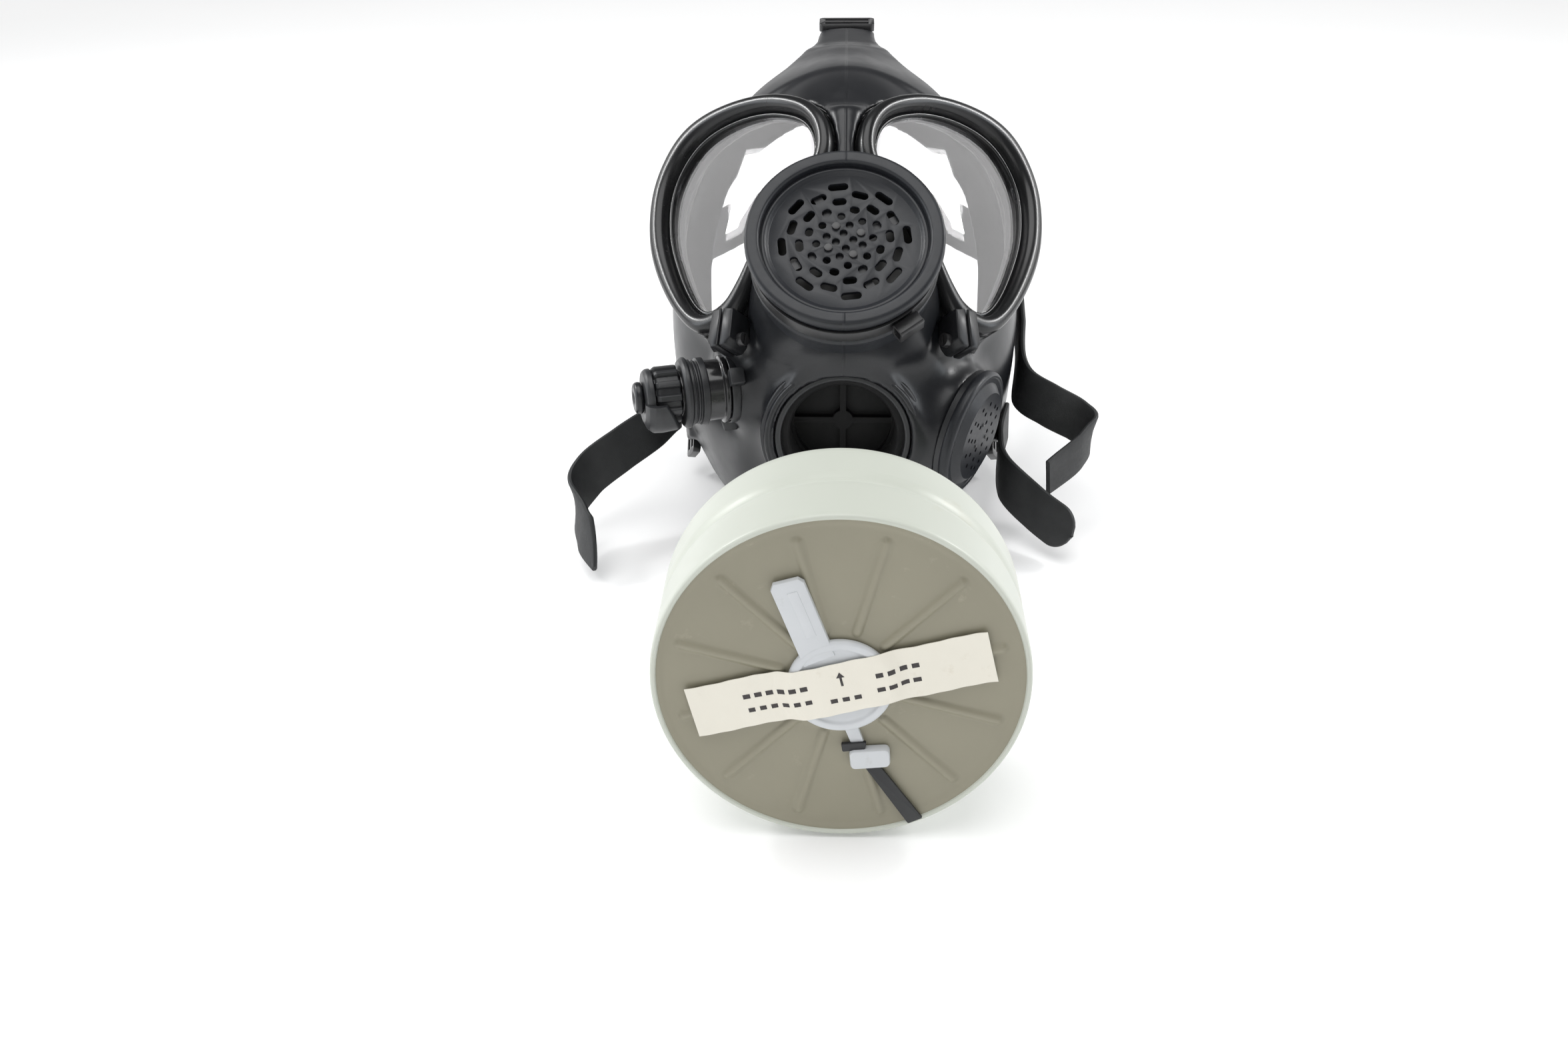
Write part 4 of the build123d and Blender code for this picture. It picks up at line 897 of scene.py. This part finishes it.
for sx, nm in ((1, "right"), (-1, "left")):
    ribbon("strap_temple_%s.strap" % nm, [(67 * sx, 149, 26.5), (36.5 * sx, 203, 30)], [(0, 0.1, 1)], STRAP_W if False else 20, 2.1, "strap_rubber", ("strap_temple_" + nm,), sag=(1.5 * sx, 1.0, 0))
    ribbon("strap_cheek_%s.strap" % nm, [(61 * sx, 101, -31), (36.5 * sx, 206, 2)], [(0, 0.2, 1)], 20, 2.1, "strap_rubber", ("strap_cheek_" + nm,), sag=(1.5 * sx, 1.0, 0))
bevel_copy("side_buckles", "steel_black", 0.3, 2)
bevel_copy("buckle_forehead", "steel_black", 0.35, 2)
bevel_copy("head_pad", "strap_rubber", 0.8, 3)

# ------------------------------------------------------------------ canister
lathe("canister_can.pressed", PORT,
      [(22.2, 112), (46, 114.3), (51, 116.6), (53.0, 119.2), (53.5, 122.0), (53.5, 134.5), (53.2, 136.2), (52.7, 137.6), (52.5, 138.6), (52.7, 139.6), (53.2, 141.0), (53.5, 142.7),
       (53.5, 159.2), (53.3, 160.7), (52.7, 161.3), (51.9, 161.2), (51.5, 160.4), (51.5, 158.4), (51.0, 142.0), (51.0, 121), (45.8, 115.4), (22.2, 113.1)],
      "can_paint", "canister", rep=("canister_can",), r=0.5, seg=256)

NT, NR = 432, 96
rads = np.linspace(12.6, 51.9, NR)
bv = []
for i in range(NT):
    th_ = 2 * math.pi * i / NT
    near_rib = (th_ - math.radians(15)) % math.radians(30)
    near_rib = min(near_rib, math.radians(30) - near_rib)
    for r_ in rads:
        off = r_ * math.sin(near_rib)
        end = max(0.0, max(17.5 - r_, r_ - 46.0))
        dd = math.hypot(off, end)
        h_ = 1.15 * max(0.0, 1 - (dd / 1.7) ** 2) ** 1.1 if dd < 1.7 else 0.0
        # shallow dished step at the edge and round the middle
        h_ += 0.5 * (1 / (1 + math.exp(-(r_ - 50.2) * 3))) + 0.35 * (1 / (1 + math.exp((r_ - 16.6) * 3)))
        bv.append([r_ * math.cos(th_), r_ * math.sin(th_), 160.1 + h_])
bf = [(i * NR + j, ((i + 1) % NT) * NR + j, ((i + 1) % NT) * NR + j + 1, i * NR + j + 1) for i in range(NT) for j in range(NR - 1)]
o_ = len(bv)
for i in range(NT):
    th_ = 2 * math.pi * i / NT
    bv.append([12.6 * math.cos(th_), 12.6 * math.sin(th_), 159.2])
    bv.append([51.9 * math.cos(th_), 51.9 * math.sin(th_), 159.2])
for i in range(NT):
    j = (i + 1) % NT
    bf += [(o_ + 2 * i, o_ + 2 * j, o_ + 2 * j + 1, o_ + 2 * i + 1), (i * NR, o_ + 2 * i, o_ + 2 * j, j * NR), (i * NR + NR - 1, j * NR + NR - 1, o_ + 2 * j + 1, o_ + 2 * i + 1)]
mesh_obj("canister_base.pressed", PORT.pts(np.array(bv)), bf, "base_paint", "canister", ("canister_base",), angle=50)

NK = [(16.8, 78), (18.8, 78)]
z = 78.8
while z < 92:
    NK += [(19.6, z), (19.6, z + 0.5), (18.6, z + 1.4)]
    z += 1.75
lathe("canister_neck.threaded", PORT, NK + [(19.5, 94), (19.5, 110.4), (22.1, 110.4), (22.1, 113), (16.8, 113)], "can_paint", "canister", rep=("canister_neck",), r=0.15, seg=160, steps=2)
lathe("canister_plug.moulded", PORT, [(0, 157.4), (12.7, 157.4), (12.7, 160.8), (14.9, 160.8), (15.0, 162.2), (14.3, 163.0), (12.6, 163.1), (11.9, 162.4), (0, 162.0)],
      "plug_white", "canister_stopper", rep=("canister_plug",), r=0.5, seg=144)


def slab(name, outline, z0, z1, mat, body, rep=(), r=0.5, rnd=1.2, lift=None):
    """A flat moulded shape with rounded corners and a rounded upper edge; lift bends it."""
    c = rounded(outline, rnd, 6)
    nn = normals2(c)
    lay = [(0.0, z0), (0.0, z1 - r), (-0.3 * r, z1 - 0.3 * r), (-r, z1)]
    vs = []
    for off, z_ in lay:
        for p_ in c + nn * off:
            vs.append([p_[0], p_[1], z_ + (lift(p_[0], p_[1]) if lift else 0.0)])
    n_ = len(c)
    fs = [(k * n_ + i, k * n_ + (i + 1) % n_, (k + 1) * n_ + (i + 1) % n_, (k + 1) * n_ + i) for k in range(len(lay) - 1) for i in range(n_)]
    fs += [tuple(range(n_)), tuple((len(lay) - 1) * n_ + i for i in range(n_))]
    return mesh_obj(name, PORT.pts(np.array(vs)), fs, mat, body, rep, angle=40)


slab("canister_plug_arm.moulded", [(-10.1, 6.5), (-19.0, 30.6), (-18.4, 32.6), (-11.6, 34.6), (-9.9, 33.6), (-1.5, 10.5)], 161.2, 162.9, "plug_white", "canister_stopper", r=0.5, rnd=1.4)
slab("canister_plug_rib.moulded", [(-9.4, 16.0), (-14.6, 30.0), (-11.8, 31.0), (-6.6, 17.0)], 162.7, 163.1, "plug_white", "canister_stopper", r=0.2, rnd=0.6)
slab("strip_lug.moulded", [(2.6, -21.6), (14.2, -20.6), (14.6, -26.8), (3.2, -28.0)], 160.6, 163.6, "plug_white", "canister", rep=("strip_lug",), r=0.9, rnd=1.8)
slab("strip_lug_web.moulded", [(1.0, -14.0), (5.0, -13.5), (7.6, -21.5), (3.8, -21.5)], 160.6, 161.7, "plug_white", "canister", r=0.4, rnd=0.8)
slab("retaining_strip.cut", [(7.0, -27.6), (11.4, -27.2), (24.4, -46.0), (20.2, -48.2)], 161.1, 161.9, "plastic_black", "canister", rep=("retaining_strip",), r=0.25, rnd=0.5, lift=lambda a, b: 0.8 * math.exp(-((b + 37) / 6) ** 2))
slab("retaining_strip_end.cut", [(0.4, -19.6), (7.6, -18.9), (7.2, -21.4), (0.8, -22.3)], 161.3, 162.5, "plastic_black", "canister", r=0.25, rnd=0.5)


def strip_height(a, b):
    """Height of the paper seal over the disc, draped over the plug's raised ring."""
    r = math.hypot(a, b)
    if r < 13.6:
        base = 163.2
    else:
        k = min(1.0, (r - 13.6) / 5.5)
        base = 163.2 - 1.75 * (k * k * (3 - 2 * k))
    return base + 0.10 * math.sin(a * 0.9) * min(1, abs(b) / 8) + 0.18 * max(0.0, (abs(a) - 38) / 5.0) ** 2


ct, st = math.cos(math.radians(13.5)), math.sin(math.radians(13.5))
sv, sf = [], []
NX, NY = 173, 33
for lay in (0, 1):
    for i in range(NX):
        a_ = -43 + 86 * i / (NX - 1)
        for j in range(NY):
            b_ = -8.2 + 16.4 * j / (NY - 1)
            b2 = b_ + 0.25 * math.sin(a_ * 0.21)
            sv.append([a_ * ct - b2 * st, a_ * st + b2 * ct, strip_height(a_, b_) + (0.22 if lay else 0.0)])
L = NX * NY
for i in range(NX - 1):
    for j in range(NY - 1):
        q = i * NY + j
        sf += [(q, q + 1, q + NY + 1, q + NY), (L + q, L + q + NY, L + q + NY + 1, L + q + 1)]
for i in range(NX - 1):
    for j in (0, NY - 1):
        q = i * NY + j
        sf.append((q, q + NY, L + q + NY, L + q))
for j in range(NY - 1):
    for i in (0, NX - 1):
        q = i * NY + j
        sf.append((q, q + 1, L + q + 1, L + q))
mesh_obj("seal_strip.paper", PORT.pts(np.array(sv)), sf, "paper", "canister_stopper", ("seal_strip",), angle=60)


def ink_patch(name, a0, a1, b0, b1, poly=None):
    """Generic printed mark on the paper seal."""
    vs, fs = [], []
    if poly is None:
        n_ = 10
        for i in range(n_ + 1):
            a_ = a0 + (a1 - a0) * i / n_
            for b_ in (b0, b1):
                vs.append((a_, b_))
        fs = [(2 * i, 2 * i + 2, 2 * i + 3, 2 * i + 1) for i in range(n_)]
    else:
        vs = poly
        fs = [tuple(range(len(poly)))]
    pts = [[a_ * ct - b_ * st, a_ * st + b_ * ct, strip_height(a_, b_) + 0.26] for a_, b_ in vs]
    ob = mesh_obj(name, PORT.pts(np.array(pts)), fs, "ink", "canister_stopper", (), angle=60)
    return ob


for k_ in range(6):
    ink_patch("seal_mark_a%d" % k_, -27.5 + 3.3 * k_, -25.4 + 3.3 * k_, 1.2, 2.7)
    ink_patch("seal_mark_b%d" % k_, -27.0 + 3.3 * k_, -25.1 + 3.3 * k_, -3.4, -2.0)
for k_ in range(4):
    ink_patch("seal_mark_c%d" % k_, 10.5 + 3.4 * k_, 12.6 + 3.4 * k_, 1.2, 2.7)
    ink_patch("seal_mark_d%d" % k_, 10.0 + 3.4 * k_, 12.3 + 3.4 * k_, -3.4, -2.0)
for k_ in range(3):
    ink_patch("seal_mark_e%d" % k_, -3.5 + 3.4 * k_, -1.5 + 3.4 * k_, -4.4, -3.0)
ink_patch("seal_mark_arrow", 0, 0, 0, 0, poly=[(0.55, 0.8), (1.25, 0.8), (1.25, 3.6), (2.1, 3.6), (0.9, 5.4), (-0.3, 3.6), (0.55, 3.6)])

# ------------------------------------------------------------------ nose cup seen through the glasses
cup = []
for (f_, u_, hw, hh_) in ((-20, 52, 19, 19), (-26, 51, 23, 24), (-36, 48, 28, 31), (-46, 46, 32, 36.5), (-54, 44, 35, 41), (-58, 43.5, 36.5, 42.5)):
    cup.append((f_, u_, hw, hh_))
NC = 72
cvv, cff = [], []
for lay, inset in ((0, 0.0), (1, 2.0)):
    for (f_, u_, hw, hh_) in (cup if lay == 0 else cup[1:] if False else cup):
        for i in range(NC):
            a_ = 2 * math.pi * i / NC
            e = 0.78
            x_ = (hw - inset) * math.copysign(abs(math.cos(a_)) ** e, math.cos(a_))
            y_ = (hh_ - inset) * math.copysign(abs(math.sin(a_)) ** e, math.sin(a_))
            if y_ > 0:
                x_ *= 1 - 0.35 * (y_ / hh_)
            cvv.append(mv(x_, f_ - (0.0 if lay == 0 else 1.8 if f_ == -20 else 0.0), u_ + y_))
nl = len(cup) * NC
for lay in (0, 1):
    o = lay * nl
    for k in range(len(cup) - 1):
        for i in range(NC):
            j = (i + 1) % NC
            cff.append((o + k * NC + i, o + k * NC + j, o + (k + 1) * NC + j, o + (k + 1) * NC + i))
    cff.append(tuple(o + i for i in range(NC)))
k = len(cup) - 1
for i in range(NC):
    j = (i + 1) % NC
    cff.append((k * NC + i, k * NC + j, nl + k * NC + j, nl + k * NC + i))
mesh_obj("nose_cup.moulded", cvv, cff, "inner_rubber", "mask", ("nose_cup",), angle=60)

# ------------------------------------------------------------------ everything else keeps its own shape and gets its finish
OWN = {"exhale_cover": "flange_rubber", "inlet_flap": "deep_black", "connector_gasket": "deep_black"}
for name, ob in frame["nodes"].items():
    slot = next(s["material_slot"] for s in frame["record"]["subparts"] if s["node"] == name)
    ob.data.materials.clear()
    ob.data.materials.append(M[OWN.get(name, slot)])

# ------------------------------------------------------------------ floor and light
fme = bpy.data.meshes.new("floor")
fme.from_pydata([(-5, -4, -0.0545), (5, -4, -0.0545), (5, 6, -0.0545), (-5, 6, -0.0545)], [], [(0, 1, 2, 3)])
floor = bpy.data.objects.new("floor", fme)
bpy.context.scene.collection.objects.link(floor)
fmt = node_mat("floor", (0.93, 0.93, 0.93), 0.85, var=0.01, rvar=0.05, scale=20, bump=0.02, bscale=300)
fmt.node_tree.nodes["Principled BSDF"].inputs["Emission Color"].default_value = (1, 1, 1, 1)
fmt.node_tree.nodes["Principled BSDF"].inputs["Emission Strength"].default_value = 0.10
fme.materials.append(fmt)
w = bpy.data.worlds.new("world")
bpy.context.scene.world = w
w.use_nodes = True
wt = w.node_tree
bg = wt.nodes["Background"]
bg.inputs[0].default_value = (1, 1, 1, 1)
# pale all round the horizon, dimmer overhead
wc = wt.nodes.new("ShaderNodeTexCoord")
wx = wt.nodes.new("ShaderNodeSeparateXYZ")
wr = wt.nodes.new("ShaderNodeMapRange")
wr.inputs["From Min"].default_value = 0.20
wr.inputs["From Max"].default_value = 0.42
wr.inputs["To Min"].default_value = 0.90
wr.inputs["To Max"].default_value = 0.13
wt.links.new(wc.outputs["Generated"], wx.inputs[0])
wt.links.new(wx.outputs["Z"], wr.inputs["Value"])
wt.links.new(wr.outputs[0], bg.inputs[1])
bpy.context.scene.view_settings.view_transform = "Standard"


def area(name, loc, target, size, power, size_y=None, roll=0.0):
    ld = bpy.data.lights.new(name, "AREA")
    ld.energy = power
    ld.size = size
    ld.color = (0.88, 0.94, 1.0) if name in ("left", "right") else (1, 1, 1)
    if size_y:
        ld.shape = "RECTANGLE"
        ld.size_y = size_y
    ob = bpy.data.objects.new(name, ld)
    bpy.context.scene.collection.objects.link(ob)
    ob.location = loc
    dirv = (Vector(target) - Vector(loc)).normalized()
    ob.rotation_euler = (dirv.to_track_quat("-Z", "Y").to_matrix() @ Matrix.Rotation(roll, 3, "Z")).to_euler()
    return ob


sun = bpy.data.lights.new("sky", "SUN")
sun.energy = 2.0
sun.angle = math.radians(55)
so = bpy.data.objects.new("sky", sun)
bpy.context.scene.collection.objects.link(so)
so.rotation_euler = Vector((0.12, 0.10, -1.0)).to_track_quat("-Z", "Y").to_euler()
area("front", (-0.35, -1.7, 0.75), (0, -0.1, 0), 1.1, 3.5)
area("left", (-1.3, 0.0, 0.45), (0, 0, 0.04), 0.28, 3.0, 0.9)
area("right", (1.3, 0.0, 0.45), (0, 0, 0.04), 0.28, 3.0, 0.9)
# bright sky behind at both sides, mirrored as a haze and a wedge in the eyepieces
for sx in (1, -1):
    nm = "right" if sx > 0 else "left"
    area("haze_" + nm, (0.90 * sx, 0.36, 0.56), (0.045 * sx, 0.065, 0.075), 0.60, 2.8, 0.50)
    area("wedge_" + nm, (0.70 * sx, 0.290, 0.555), (0.045 * sx, 0.065, 0.075), 0.150, 1.6, 0.085, roll=0.55 * sx)
